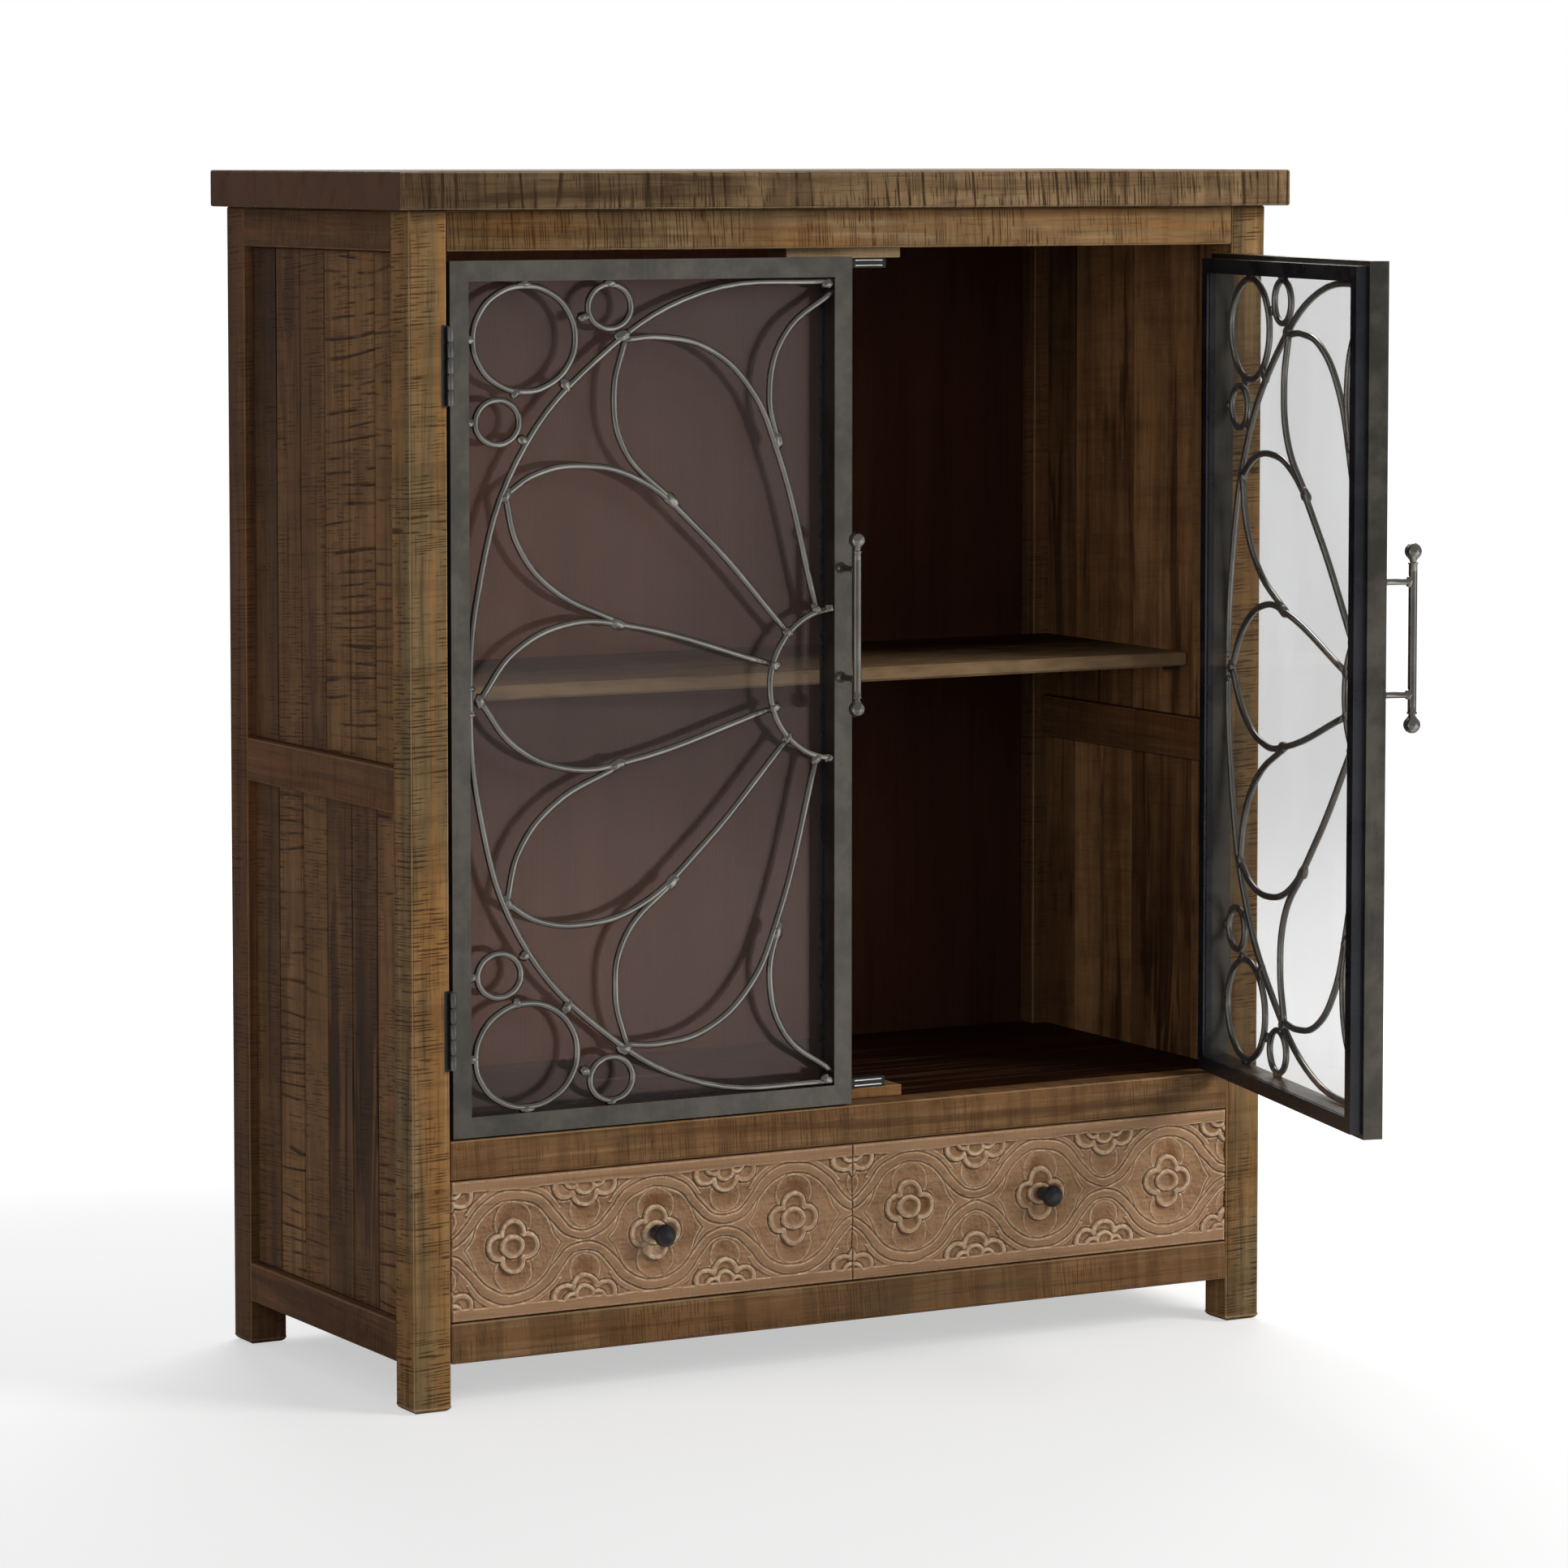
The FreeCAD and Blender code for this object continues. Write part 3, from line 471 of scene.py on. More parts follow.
def makeSky():
    world = bpy.data.worlds.new("studioSky")
    bpy.context.scene.world = world
    world.use_nodes = True
    tree = world.node_tree
    direction = addNode(tree, "TexCoord").outputs["Generated"]
    x, y, z = partsOf(direction)
    behind = times(between(y, 0.2, 0.6), between(z, 0.0, 0.04))
    feedAll(tree.nodes["Background"], {"Color": (1, 1, 1),
                                       "Strength": whiteToCamera(studio["skyLight"], 1.0, direction, behind)})


def makeFloor():
    bm = bmesh.new()
    bmesh.ops.create_grid(bm, x_segments=2, y_segments=2, size=studio["floorReach"])
    floor = pieceFrom(bm, "studioFloor", None)
    material, tree, shader = newMaterial("studioFloor")
    # the glow grows with distance, so that the floor runs on into the white behind
    spot = addNode(tree, "TexCoord").outputs["Object"]
    away = vectorMaths("LENGTH", spot)
    pale = between(away, studio["paleFrom"], studio["paleTo"])
    glow = plus(studio["floorGlow"], times(pale, 1 - studio["floorGlow"]))
    start, dark, fade, end, share = studio["darkBand"]
    dull = times(minus(between(away, start, dark), between(away, fade, end)), share)
    feedAll(shader, {"Base Color": studio["floorColour"], "Roughness": 0.9, "Specular IOR Level": 0.0,
                     "Emission Color": (1, 1, 1),
                     "Emission Strength": whiteToCamera(0.0, glow, vectorMaths("NORMALIZE", spot), 0.0, dull)})
    floor.data.materials.append(material)


def pieceFrom(bm, name, material, smooth=False, sharpAngle=None):
    mesh = bpy.data.meshes.new(name)
    bm.to_mesh(mesh)
    bm.free()
    for polygon in mesh.polygons:
        polygon.use_smooth = smooth
    if sharpAngle:
        mesh.set_sharp_from_angle(angle=math.radians(sharpAngle))
    piece = linked(name, mesh)
    if material:
        mesh.materials.append(materials[material])
    return piece


def put(piece, body, slot, *replaced):
    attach(piece, body)
    if replaced:
        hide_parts(*replaced)


def toRight(bm, swing):
    # mirrors a shape made for the left side, what is on the door swings to where the right door stands
    turn = Matrix.Identity(4)
    if swing:
        pivot = Matrix.Translation((door["hingeX"], door["hingeY"], 0))
        turn = pivot @ Matrix.Rotation(math.radians(door["openAngle"]), 4, "Z") @ pivot.inverted()
    bmesh.ops.transform(bm, matrix=turn @ Matrix.Diagonal((-1, 1, 1, 1)), verts=bm.verts)
    bmesh.ops.reverse_faces(bm, faces=bm.faces)


def putSide(bm, side, name, material, body, slot, *replaced, angle=None, smooth=True, mend=True):
    # puts a shape made for the left side on either side
    if mend:
        bmesh.ops.recalc_face_normals(bm, faces=bm.faces)
    if side == "right":
        toRight(bm, body == "right_door")
    put(pieceFrom(bm, side + name, material, smooth, angle), body, slot, *replaced)


def roundEdges(bm, edges, radius, segments):
    bmesh.ops.bevel(bm, geom=edges, offset=radius, offset_type="OFFSET", affect="EDGES", segments=segments,
                    profile=0.5, material=-1, clamp_overlap=True)


def meshInto(bm, whole):
    mesh = bpy.data.meshes.new("part")
    bm.to_mesh(mesh)
    bm.free()
    whole.from_mesh(mesh)
    bpy.data.meshes.remove(mesh)


def addBox(bm, low, high):
    low, high = Vector(low), Vector(high)
    made = bmesh.ops.create_cube(bm, size=1.0)["verts"]
    bmesh.ops.scale(bm, vec=high - low, verts=made)
    bmesh.ops.translate(bm, vec=(high + low) / 2, verts=made)


def addSpun(bm, outline, steps, turn):
    # spins points of radius and height into a closed turned shape
    part = bmesh.new()
    made = [part.verts.new((radius, 0, height)) for radius, height in outline]
    edges = [part.edges.new(pair) for pair in zip(made, made[1:])]
    bmesh.ops.spin(part, geom=made + edges, cent=(0, 0, 0), axis=(0, 0, 1), dvec=(0, 0, 0),
                   angle=2 * math.pi, steps=steps, use_merge=True)
    bmesh.ops.remove_doubles(part, verts=part.verts, dist=1e-6)
    bmesh.ops.transform(part, matrix=turn, verts=part.verts)
    meshInto(part, bm)


def boxesOf(node):
    # corners of each separate solid in a CAD node
    source = bmesh.new()
    source.from_mesh(nodes[node].data)
    bmesh.ops.remove_doubles(source, verts=source.verts, dist=1e-6)
    left = set(source.verts)
    boxes = []
    while left:
        stack = [left.pop()]
        island = []
        while stack:
            vert = stack.pop()
            island.append(vert.co.copy())
            for edge in vert.link_edges:
                other = edge.other_vert(vert)
                if other in left:
                    left.discard(other)
                    stack.append(other)
        boxes.append(tuple(Vector([pick(co[i] for co in island) for i in range(3)]) for pick in (min, max)))
    source.free()
    return sorted(boxes, key=lambda pair: tuple(pair[0]))


boards = {
    "cutLength": 0.035, "chip": 0.0011, "segments": 2, "footRadius": 0.007,
    "roundRadius": 0.0024, "radii": {"planks": 0.0018, "block": 0.0012, "catch": 0.0004, "top_slab": 0.0022},
    # tones from front to back
    "upperTones": (0.60, 0.73, 0.73, 0.46, 0.46, 0.20), "lowerTones": (0.68, 0.32, 0.32, 0.54, 0.80, 0.24),
    "slabTones": (0.74, 0.5, 0.66, 0.58),
    # painted shade, darker to the left: dim at the left end, change towards the right end, half the length
    "slabPaintedShade": (0.56, -0.66, 0.51), "railPaintedShade": (0.22, -0.46, 0.45),
    # painted light on the back panel's inside, brighter to the left
    "backPaintedLight": (-1.4, 3.2, -0.5),  # inside: at the middle, change per metre to the right; outside
    # painted shadow at the top of the last plank
    "lastPlankPaintedShadow": (0.34, 0.80, 0.22),  # most, from this height, over this height
}


def boardFrom(bm, low, high, radius, seed, tone, layers, foot):
    # sawn board: cut into lengths, arrises rounded and knocked about a little, always inwards
    addBox(bm, low, high)
    size = high - low
    long = max(range(3), key=lambda axis: size[axis])
    if foot:
        base = [edge for edge in bm.edges if all(vert.co.z < low.z + 1e-6 for vert in edge.verts)]
        roundEdges(bm, base, foot, 4)
    longEdges = [edge for edge in bm.edges if abs(edge.verts[0].co[long] - edge.verts[1].co[long]) > size[long] * 0.8]
    cuts = max(1, int(size[long] / boards["cutLength"]))
    bmesh.ops.subdivide_edges(bm, edges=longEdges, cuts=cuts, use_grid_fill=True)

    def sides(co):
        return sorted(min(co[i] - low[i], high[i] - co[i]) for i in range(3))
    rim = [edge for edge in bm.edges if all(sides(vert.co)[1] < 1e-6 for vert in edge.verts)
           and sides((edge.verts[0].co + edge.verts[1].co) / 2)[1] < 1e-6]
    roundEdges(bm, rim, radius, boards["segments"])
    middle = (low + high) / 2
    for vert in bm.verts:
        near = sides(vert.co)
        onRim = near[1] < radius * 0.6
        vert[layers["wear"]] = float(onRim)
        vert[layers["tone"]] = tone
        atEnd = min(vert.co[long] - low[long], high[long] - vert.co[long]) < radius * 0.4
        vert[layers["end"]] = float(atEnd)
        if onRim and near[2] > radius * 2:
            push = noise.noise(vert.co * 55 + Vector((seed, 0, 0))) * 0.5 + 0.5
            inward = Vector([0.0 if axis == long else math.copysign(1, middle[axis] - vert.co[axis])
                             for axis in range(3)])
            vert.co += inward * push * boards["chip"]


def boardPiece(name, node, boxes, material, tones=None, finish=None):
    whole = bmesh.new()
    radius = next((size for word, size in boards["radii"].items() if word in node), boards["roundRadius"])
    for index, (low, high) in enumerate(boxes):
        bm = bmesh.new()
        layers = {label: bm.verts.layers.float.new(label)
                  for label in ("wear", "tone", "dim", "end", "stain", "inside")}
        tone = tones[index] if tones else noise.noise(low * 9.7) * 0.5 + 0.5
        boardFrom(bm, low, high, radius, index * 3.1, tone, layers, boards["footRadius"] if "post" in node else 0.0)
        if finish:
            for vert in bm.verts:
                finish(vert, layers, index)
        meshInto(bm, whole)
    return pieceFrom(whole, name, material)


carcassBoards = [
    # node, material, slot
    ("{side}_front_post", "frontPostWood", "frame_wood"),
    ("{side}_rear_post", "sidePostWood", "side_wood"),
    ("front_top_rail", "topRailWood", "frame_wood"),
    ("front_middle_rail", "frontRailWood", "frame_wood"),
    ("front_bottom_rail", "frontRailWood", "frame_wood"),
    ("{side}_side_top_rail", "sideRailWood", "side_wood"),
    ("{side}_side_middle_rail", "sideRailWood", "side_wood"),
    ("{side}_side_bottom_rail", "sideRailWood", "side_wood"),
    ("back_rails", "frontRailWood", "side_wood"),
    ("{side}_upper_planks", "plankWood", "plank_wood"),
    ("{side}_lower_planks", "plankWood", "plank_wood"),
    # the shelf's dark inner wood is painted shade on its top
    ("shelf", "innerWood", "inner_wood"),
    ("back_panel", "backWood", "inner_wood"),
    ("upper_stop_block", "blockWood", "block_wood"),
    ("lower_stop_block", "lowBlockWood", "block_wood"),
    ("magnetic_catches", "catchPlastic", "black_plastic"),
    ("catch_pole_plates", "brightSteel", "pole_steel"),
]
innerFace = 0.475  # the planks' inner faces lie nearer the middle than this
heartwood = {"height": 0.30, "spread": 0.20, "boards": {1: 0.9, 2: 1.0}, "others": 0.12}


def finishPlankWithPaintedLight(vert, layers, index):
    # planed inside and paler there, partly as painted light; a dark heartwood figure low down on the middle boards;
    # painted shadow at the top of the last board
    vert[layers["inside"]] = float(abs(vert.co.x) < innerFace)
    vert[layers["dim"]] = 0.5 * vert[layers["wear"]]  # open joints
    vert[layers["wear"]] = 0.0
    low = math.exp(-((vert.co.z - heartwood["height"]) / heartwood["spread"]) ** 2)
    vert[layers["stain"]] = heartwood["boards"].get(index, heartwood["others"]) * low
    # painted shadow: the last board darkens towards the top, where the rear post and top rail shade it
    if index == 5:  # the last board darkens towards the top
        most, start, over = boards["lastPlankPaintedShadow"]
        vert[layers["dim"]] += most * min(1.0, max(0.0, (vert.co.z - start) / over))


def paintLightOnBack(vert, layers, index):
    # painted light inside: the back is brighter to the left and darker to the right
    middle, change, outside = boards["backPaintedLight"]
    inside = vert.co.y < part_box("back_panel")[0].y + 0.002
    vert[layers["dim"]] = middle + change * vert.co.x if inside else outside


def finishShelfWithPaintedHighlight(vert, layers, index):
    # painted highlight: the front edge is paler against the dark top, and rubbed there too
    vert[layers["wear"]] = float(vert.co.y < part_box("shelf")[0].y + 0.003)  # rubbed front edge


# painted shade across a board, darker to the left
def paintedShadeAcross(vert, start, change, half):
    return start + change * (vert.co.x + half) / (2 * half)


def finishSlabWithPaintedShade(vert, layers, index):
    vert[layers["dim"]] = paintedShadeAcross(vert, *boards["slabPaintedShade"])
    vert[layers["inside"]] = float(vert.co.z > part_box("top_slab")[1].z - 0.0002)


def paintShadeOnTopRail(vert, layers, index):
    vert[layers["dim"]] = paintedShadeAcross(vert, *boards["railPaintedShade"])


def boardsAcross(node, count):
    # boards of one width side by side from front to back
    low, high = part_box(node)
    width = (high.y - low.y) / count
    return [(Vector((low.x, low.y + width * i, low.z)), Vector((high.x, low.y + width * (i + 1), high.z)))
            for i in range(count)]


def makeCarcass():
    finishesAndPaintedLight = {"shelf": finishShelfWithPaintedHighlight, "front_top_rail": paintShadeOnTopRail, "back_panel": paintLightOnBack}
    for named, material, slot in carcassBoards:
        for side in ("left", "right") if "{side}" in named else ("",):
            node = named.format(side=side)
            if "planks" in node:
                tones = boards["upperTones" if "upper" in node else "lowerTones"]
                piece = boardPiece(node + "Sawn", node, boardsAcross(node, len(tones)), material, tones, finishPlankWithPaintedLight)
            else:
                piece = boardPiece(node + "Sawn", node, boxesOf(node), material, None, finishesAndPaintedLight.get(node))
            put(piece, "cabinet", slot, node)
    tones = boards["slabTones"]
    top = boardPiece("topBoards", "top_slab", boardsAcross("top_slab", len(tones)), "topWood", tones, finishSlabWithPaintedShade)
    put(top, "cabinet", "top_wood", "top_slab")
    for node in ("cabinet_floor", "floor_cleats"):
        dress(node, "innerWood")
    for node in ("centre_drawer_bearer", "left_side_drawer_bearer", "right_side_drawer_bearer"):
        dress(node, "boxWood")
    dress("shelf_pins", "hingeSteel")


def dress(node, material):
    slots = nodes[node].data.materials
    slots.clear()
    slots.append(materials[material])


door = {"hingeX": 0.4495, "hingeY": -0.004, "openAngle": 76.6, "edge": 0.448, "width": 0.446, "bottom": 0.268,
        "top": 1.121, "tube": 0.020, "cornerRound": 0.0013}
grille = {"rodRadius": 0.00345, "rodBack": 0.0044, "sides": 3, "smoothness": 7}
opening = {"width": door["width"] - 2 * door["tube"], "half": (door["top"] - door["bottom"]) / 2 - door["tube"],
           "left": -door["edge"] + door["tube"], "middle": (door["top"] + door["bottom"]) / 2}  # inside the tubes

# the grille's lines as shares of the opening: across from the outer stile, and up from the middle, mirrored below
outerArcShares = [(0.004, 0.0), (0.026, 0.256), (0.131, 0.571), (0.345, 0.808), (0.632, 0.966), (1.0, 0.992)]
petalShares = [
    [(0.424, 0.856), (0.516, 0.861), (0.651, 0.831), (0.768, 0.733), (0.839, 0.59), (0.954, 0.182)],
    [(0.424, 0.856), (0.394, 0.733), (0.419, 0.595), (0.554, 0.462)],
    [(0.1, 0.49), (0.18, 0.537), (0.303, 0.555), (0.46, 0.518), (0.632, 0.384), (0.874, 0.129)],
    [(0.1, 0.49), (0.133, 0.368), (0.221, 0.264), (0.408, 0.172)],
    [(0.03, 0.0), (0.124, 0.114), (0.28, 0.177), (0.412, 0.168), (0.832, 0.053)],
    [(1.0, 0.966), (0.864, 0.861), (0.822, 0.715), (0.845, 0.598)],
]
ringShares = [(0.152, 0.862, 0.1455, 0.1345), (0.382, 0.936, 0.0665, 0.0615), (0.079, 0.664, 0.0665, 0.0615)]
hubShares = (1.01, 0.186)
# weld beads: place as shares, length and width in millimetres, tilt in degrees
weldBeads = [
    (0.262, 0.751, 17, 10, -55), (0.31, 0.912, 14, 9, 20), (0.126, 0.733, 12, 9, 70), (0.147, 0.62, 13, 9, -20),
    (0.418, 0.866, 19, 11, 10), (0.102, 0.49, 16, 10, 60), (0.400, 0.171, 21, 11, -20), (0.548, 0.466, 22, 11, -40),
    (0.843, 0.606, 21, 11, -75), (0.03, 0.0, 15, 10, 90), (0.872, 0.131, 14, 10, -45), (0.836, 0.052, 14, 10, -15),
    (0.952, 0.186, 13, 9, -60), (0.004, 0.862, 10, 12, 90), (0.004, 0.664, 10, 11, 90), (0.152, 0.994, 17, 8, 0),
    (0.382, 0.993, 13, 8, 0), (0.985, 0.985, 14, 10, 10), (0.99, 0.185, 12, 9, 0), (0.002, 0.03, 9, 12, 90),
]


def atShare(across, up):
    return Vector((opening["left"] + across * opening["width"], grille["rodBack"],
                   opening["middle"] + up * opening["half"]))


def rodCurve(paths):
    # round rods along smooth lines, as one mesh
    curve = bpy.data.curves.new("rodPaths", "CURVE")
    curve.dimensions = "3D"
    curve.bevel_depth = grille["rodRadius"]
    curve.bevel_resolution = grille["sides"]
    curve.resolution_u = grille["smoothness"]
    curve.use_fill_caps = True
    for points, closed in paths:
        spline = curve.splines.new("BEZIER")
        spline.bezier_points.add(len(points) - 1)
        for spot, point in zip(spline.bezier_points, points):
            spot.co = point
            spot.handle_left_type = spot.handle_right_type = "AUTO"
        spline.use_cyclic_u = closed
    holder = linked("rodPaths", curve)
    mesh = bpy.data.meshes.new_from_object(holder.evaluated_get(bpy.context.evaluated_depsgraph_get()))
    bpy.data.objects.remove(holder)
    return mesh


def grilleMesh():
    lower = [atShare(across, -up) for across, up in reversed(outerArcShares[1:])]
    paths = [(lower + [atShare(across, up) for across, up in outerArcShares], False)]
    for sign in (1, -1):
        for shares in petalShares:
            paths.append(([atShare(across, up * sign) for across, up in shares], False))
        for across, up, halfWidth, halfHeight in ringShares:
            centre = atShare(across, up * sign)
            a = halfWidth * opening["width"] - grille["rodRadius"]
            b = halfHeight * opening["half"] - grille["rodRadius"]
            paths.append(([centre + Vector((a * math.cos(t), 0, b * math.sin(t)))
                           for t in (2 * math.pi * i / 12 for i in range(12))], True))
    centre = atShare(hubShares[0], 0)
    radius = hubShares[1] * opening["width"]
    hub = [centre + Vector((-radius * math.sin(t), 0, radius * math.cos(t)))
           for t in (0.03 + (math.pi - 0.06) * i / 10 for i in range(11))]
    return rodCurve(paths + [(hub, False)])


def addBead(bm, centre, length, width, tilt, seed):
    # lumpy drop of weld
    made = bmesh.ops.create_icosphere(bm, subdivisions=3, radius=1.0)["verts"]
    for vert in made:
        coarse = noise.noise(vert.co * 1.7 + Vector((seed * 7.3, seed, 0)))
        vert.co *= 1 + coarse * 0.22 + noise.noise(vert.co * 4.1 + Vector((0, seed, 0))) * 0.1
    size = Matrix.Diagonal((length / 2000, 0.0046, width / 1800, 1))
    turn = Matrix.Rotation(math.radians(-tilt), 4, "Y")
    bmesh.ops.transform(bm, matrix=Matrix.Translation(centre) @ turn @ size, verts=made)


def makeGrilles():
    rods = grilleMesh()
    for side in ("left", "right"):
        bm = bmesh.new()
        bm.from_mesh(rods)
        bmesh.ops.remove_doubles(bm, verts=bm.verts, dist=1e-6)
        for index, (across, up, length, width, tilt) in enumerate(weldBeads):
            for sign in ((1, -1) if up else (1,)):
                addBead(bm, atShare(across, up * sign), length, width, tilt * sign, index + sign * 0.37)
        body = side + "_door"
        putSide(bm, side, "GrilleRods", "rodIron", body, "painted_iron", body + "_grille", mend=False)


def tubeFrame():
    # square frame of four bars with mitred corners
    bm = bmesh.new()
    depth = door["tube"]
    x0, x1, z0, z1 = -door["edge"], -door["edge"] + door["width"], door["bottom"], door["top"]
    bars = [((x0, 0, z0), (x0 + depth, depth, z1)), ((x1 - depth, 0, z0), (x1, depth, z1)),
            ((x0, 0, z0), (x1, depth, z0 + depth)), ((x0, 0, z1 - depth), (x1, depth, z1))]
    for index, (low, high) in enumerate(bars):
        bar = bmesh.new()
        addBox(bar, low, high)
        centre = (Vector(low) + Vector(high)) / 2
        for x, z, across in ((x0, z0, (1, 0, -1)), (x1, z0, (1, 0, 1)), (x0, z1, (-1, 0, -1)), (x1, z1, (-1, 0, 1))):
            if not (low[0] <= x <= high[0] and low[2] <= z <= high[2]):
                continue
            across = Vector(across)
            if across.dot(centre - Vector((x, 0, z))) > 0:
                across = -across
            geom = bar.verts[:] + bar.edges[:] + bar.faces[:]
            bmesh.ops.bisect_plane(bar, geom=geom, plane_co=(x, 0, z), plane_no=across, clear_outer=True)
            bmesh.ops.holes_fill(bar, edges=bar.edges, sides=8)
        axis, length = (2, z1 - z0) if index < 2 else (0, x1 - x0)
        long = [edge for edge in bar.edges if abs((edge.verts[0].co - edge.verts[1].co)[axis]) > length * 0.5]
        roundEdges(bar, long, door["cornerRound"], 3)
        meshInto(bar, bm)
    return bm


handle = {
    "rodRadius": 0.0043, "ballRadius": 0.0084, "half": 0.0845, "standOff": 0.032, "x": -0.0145, "z": 0.7555,
    "postHalf": 0.055, "postRadius": 0.0032,
    # the neck beside each ball: share of the rod's radius, distance from the ball
    "neck": ((0.82, 0.0004), (0.80, 0.0018), (1.18, 0.0026), (1.18, 0.0038), (1.0, 0.0046), (1.0, 0.012)),
    "foot": ((0.0, -0.001), (0.0060, -0.0005), (0.0056, 0.0012), (0.0042, 0.0030)),
}


def handleBar():
    bm = bmesh.new()
    rod, ball, half, reach = handle["rodRadius"], handle["ballRadius"], handle["half"], handle["standOff"]
    turns = [math.radians(-90 + i * 138 / 14) for i in range(1, 15)]
    arc = [(ball * math.cos(t), -half + ball * math.sin(t)) for t in turns]
    lower = [(0.0, -half - ball)] + arc + [(rod * share, -half + ball + far) for share, far in handle["neck"]]
    outline = lower + [(radius, -height) for radius, height in reversed(lower)]
    addSpun(bm, outline, 32, Matrix.Translation((handle["x"], -reach, handle["z"])))
    for sign in (-1, 1):
        post, height = handle["postRadius"], handle["z"] + sign * handle["postHalf"]
        foot = [*handle["foot"], (post, 0.0050), (post, reach - 0.006), (post * 1.3, reach - 0.0035),
                (0.0, reach - 0.001)]
        turn = Matrix.Translation((handle["x"], 0, height)) @ Matrix.Rotation(math.radians(90), 4, "X")
        addSpun(bm, foot, 20, turn)
        addBead(bm, Vector((handle["x"], -reach + 0.0035, height)), 8, 10, 0, sign)
    return bm


# the black strip beside the knuckles is painted shadow
hinge = {"heights": (0.3745, 1.020), "length": 0.077, "knuckles": 5, "radius": 0.0034, "gap": 0.0004, "leaf": 0.0012,
         "leafWidth": 0.019, "postX": -0.451, "notch": ((-0.4572, -0.0003), (-0.4512, 0.0012)), "notchRoom": 0.001}


def makeHinges(side):
    # butt hinges of five knuckles, three on the post and two on the door
    radius, half = hinge["radius"], hinge["length"] / 2
    doorX = -door["edge"] - hinge["leaf"]
    for body, part, first, x in (("cabinet", "Post", 0, hinge["postX"]), (side + "_door", "Door", 1, doorX)):
        bm = bmesh.new()
        for height in hinge["heights"]:
            bottom = height - half
            addBox(bm, (x, 0, bottom), (x + hinge["leaf"], hinge["leafWidth"], height + half))
            for index in range(first, hinge["knuckles"], 2):
                z0, z1 = (hinge["length"] / hinge["knuckles"] * (index + end) for end in (0, 1))
                z0, z1 = z0 + hinge["gap"], z1 - hinge["gap"]
                outline = [(0.0, z0), (radius * 0.86, z0), (radius, z0 + 0.0006),
                           (radius, z1 - 0.0006), (radius * 0.86, z1), (0.0, z1)]
                addSpun(bm, outline, 20, Matrix.Translation((-door["hingeX"], door["hingeY"], bottom)))
                addBox(bm, (x, door["hingeY"], bottom + z0), (x + hinge["leaf"], 0.0005, bottom + z1))
        putSide(bm, side, part + "Knuckles", "hingeSteel", body, "hinge_steel",
                side + "_" + part.lower() + "_hinge_leaves", angle=40)
    dress(side + "_hinge_pins", "hingeSteel")
    # the hinges are let into the post; a black strip beside the knuckles is painted shadow
    bm = bmesh.new()
    for height in hinge["heights"]:
        low, high = hinge["notch"]
        room = half + hinge["notchRoom"]
        addBox(bm, (*low, height - room), (*high, height + room))
    putSide(bm, side, "HingePaintedShadows", "knobBlack", "cabinet", "hinge_steel", smooth=False)


def makeDoors():
    for side in ("left", "right"):
        body = side + "_door"
        putSide(tubeFrame(), side, "TubeFrame", "gunmetal", body, "painted_iron", body + "_frame", angle=35)
        dress(body + "_glass_frame", "frameBlack")
        dress(body + "_glass", "doorGlass")
        makeHinges(side)
        putSide(handleBar(), side, "HandleBar", "rodIron", body, "handle_iron", body + "_handle", angle=50)


carving = {
    # millimetres
    "grid": 0.82, "bandOuter": 57.0, "bandInner": 46.5, "bandCrown": 1.5, "lineDepth": 1.7, "lineWidth": 1.4,
    "ground": 2.5, "bowl": 2.9, "petalOut": 14.6, "petalRadius": 13.8, "boss": 12.6, "stripLevel": 57.4, "warp": 0.7,
    "gouge": 0.55, "middle": 69.0, "deepest": 4.6,
    "barePatch": (219.0, 58.0, 13.0),  # rubbed bare round the left knob: across, up, reach
}
medallions = {"left": (66.5, 224.4, 381.5), "right": (66.3, 222.3, 377.3)}


def smoothLine(points, steps=14):
    # Catmull-Rom line through a few points
    points = [np.array(point, float) for point in points]
    points = [2 * points[0] - points[1]] + points + [2 * points[-1] - points[-2]]
    out = []
    for a, b, c, d in zip(points, points[1:], points[2:], points[3:]):
        for i in range(steps):
            t = i / steps
            curved = (2 * a - 5 * b + 4 * c - d) * t * t + (3 * b - a - 3 * c + d) * t ** 3
            out.append(0.5 * (2 * b + (c - a) * t + curved))
    out.append(points[-2])
    return np.array(out)


def distanceTo(line, u, v):
    best = np.full(u.shape, 1e9)
    for (ax, ay), (bx, by) in zip(line, line[1:]):
        dx, dy = bx - ax, by - ay
        t = np.clip(((u - ax) * dx + (v - ay) * dy) / (dx * dx + dy * dy + 1e-12), 0, 1)
        best = np.minimum(best, np.hypot(u - ax - t * dx, v - ay - t * dy))
    return best


def softStep(value, low, high):
    t = np.clip((value - low) / (high - low), 0, 1)
    return t * t * (3 - 2 * t)


def arcPoints(radius, start, end, count):
    return [(radius * math.cos(t), radius * math.sin(t)) for t in np.radians(np.linspace(start, end, count))]


def heightOfLine(line, a):
    order = np.argsort(line[:, 0])
    return np.interp(a, line[order, 0], line[order, 1])


def softened(grid, radius):
    weights = np.exp(-np.linspace(-2, 2, 2 * radius + 1) ** 2)
    weights /= weights.sum()
    grid = np.pad(grid, radius, mode="edge")
    for axis in (1, 0):
        grid = np.apply_along_axis(lambda line: np.convolve(line, weights, mode="valid"), axis, grid)
    return grid


def noiseAt(u, v, scaleU, scaleV, seed):
    return np.array([noise.noise(Vector((a * scaleU, b * scaleV, seed))) for a, b in zip(u, v)])


def crestOf(distance):
    # crest a little inside an edge, made paler: rubbed, and a painted highlight
    return np.clip(1.25 - np.abs(distance + 1.7) / 1.9, 0, 1)


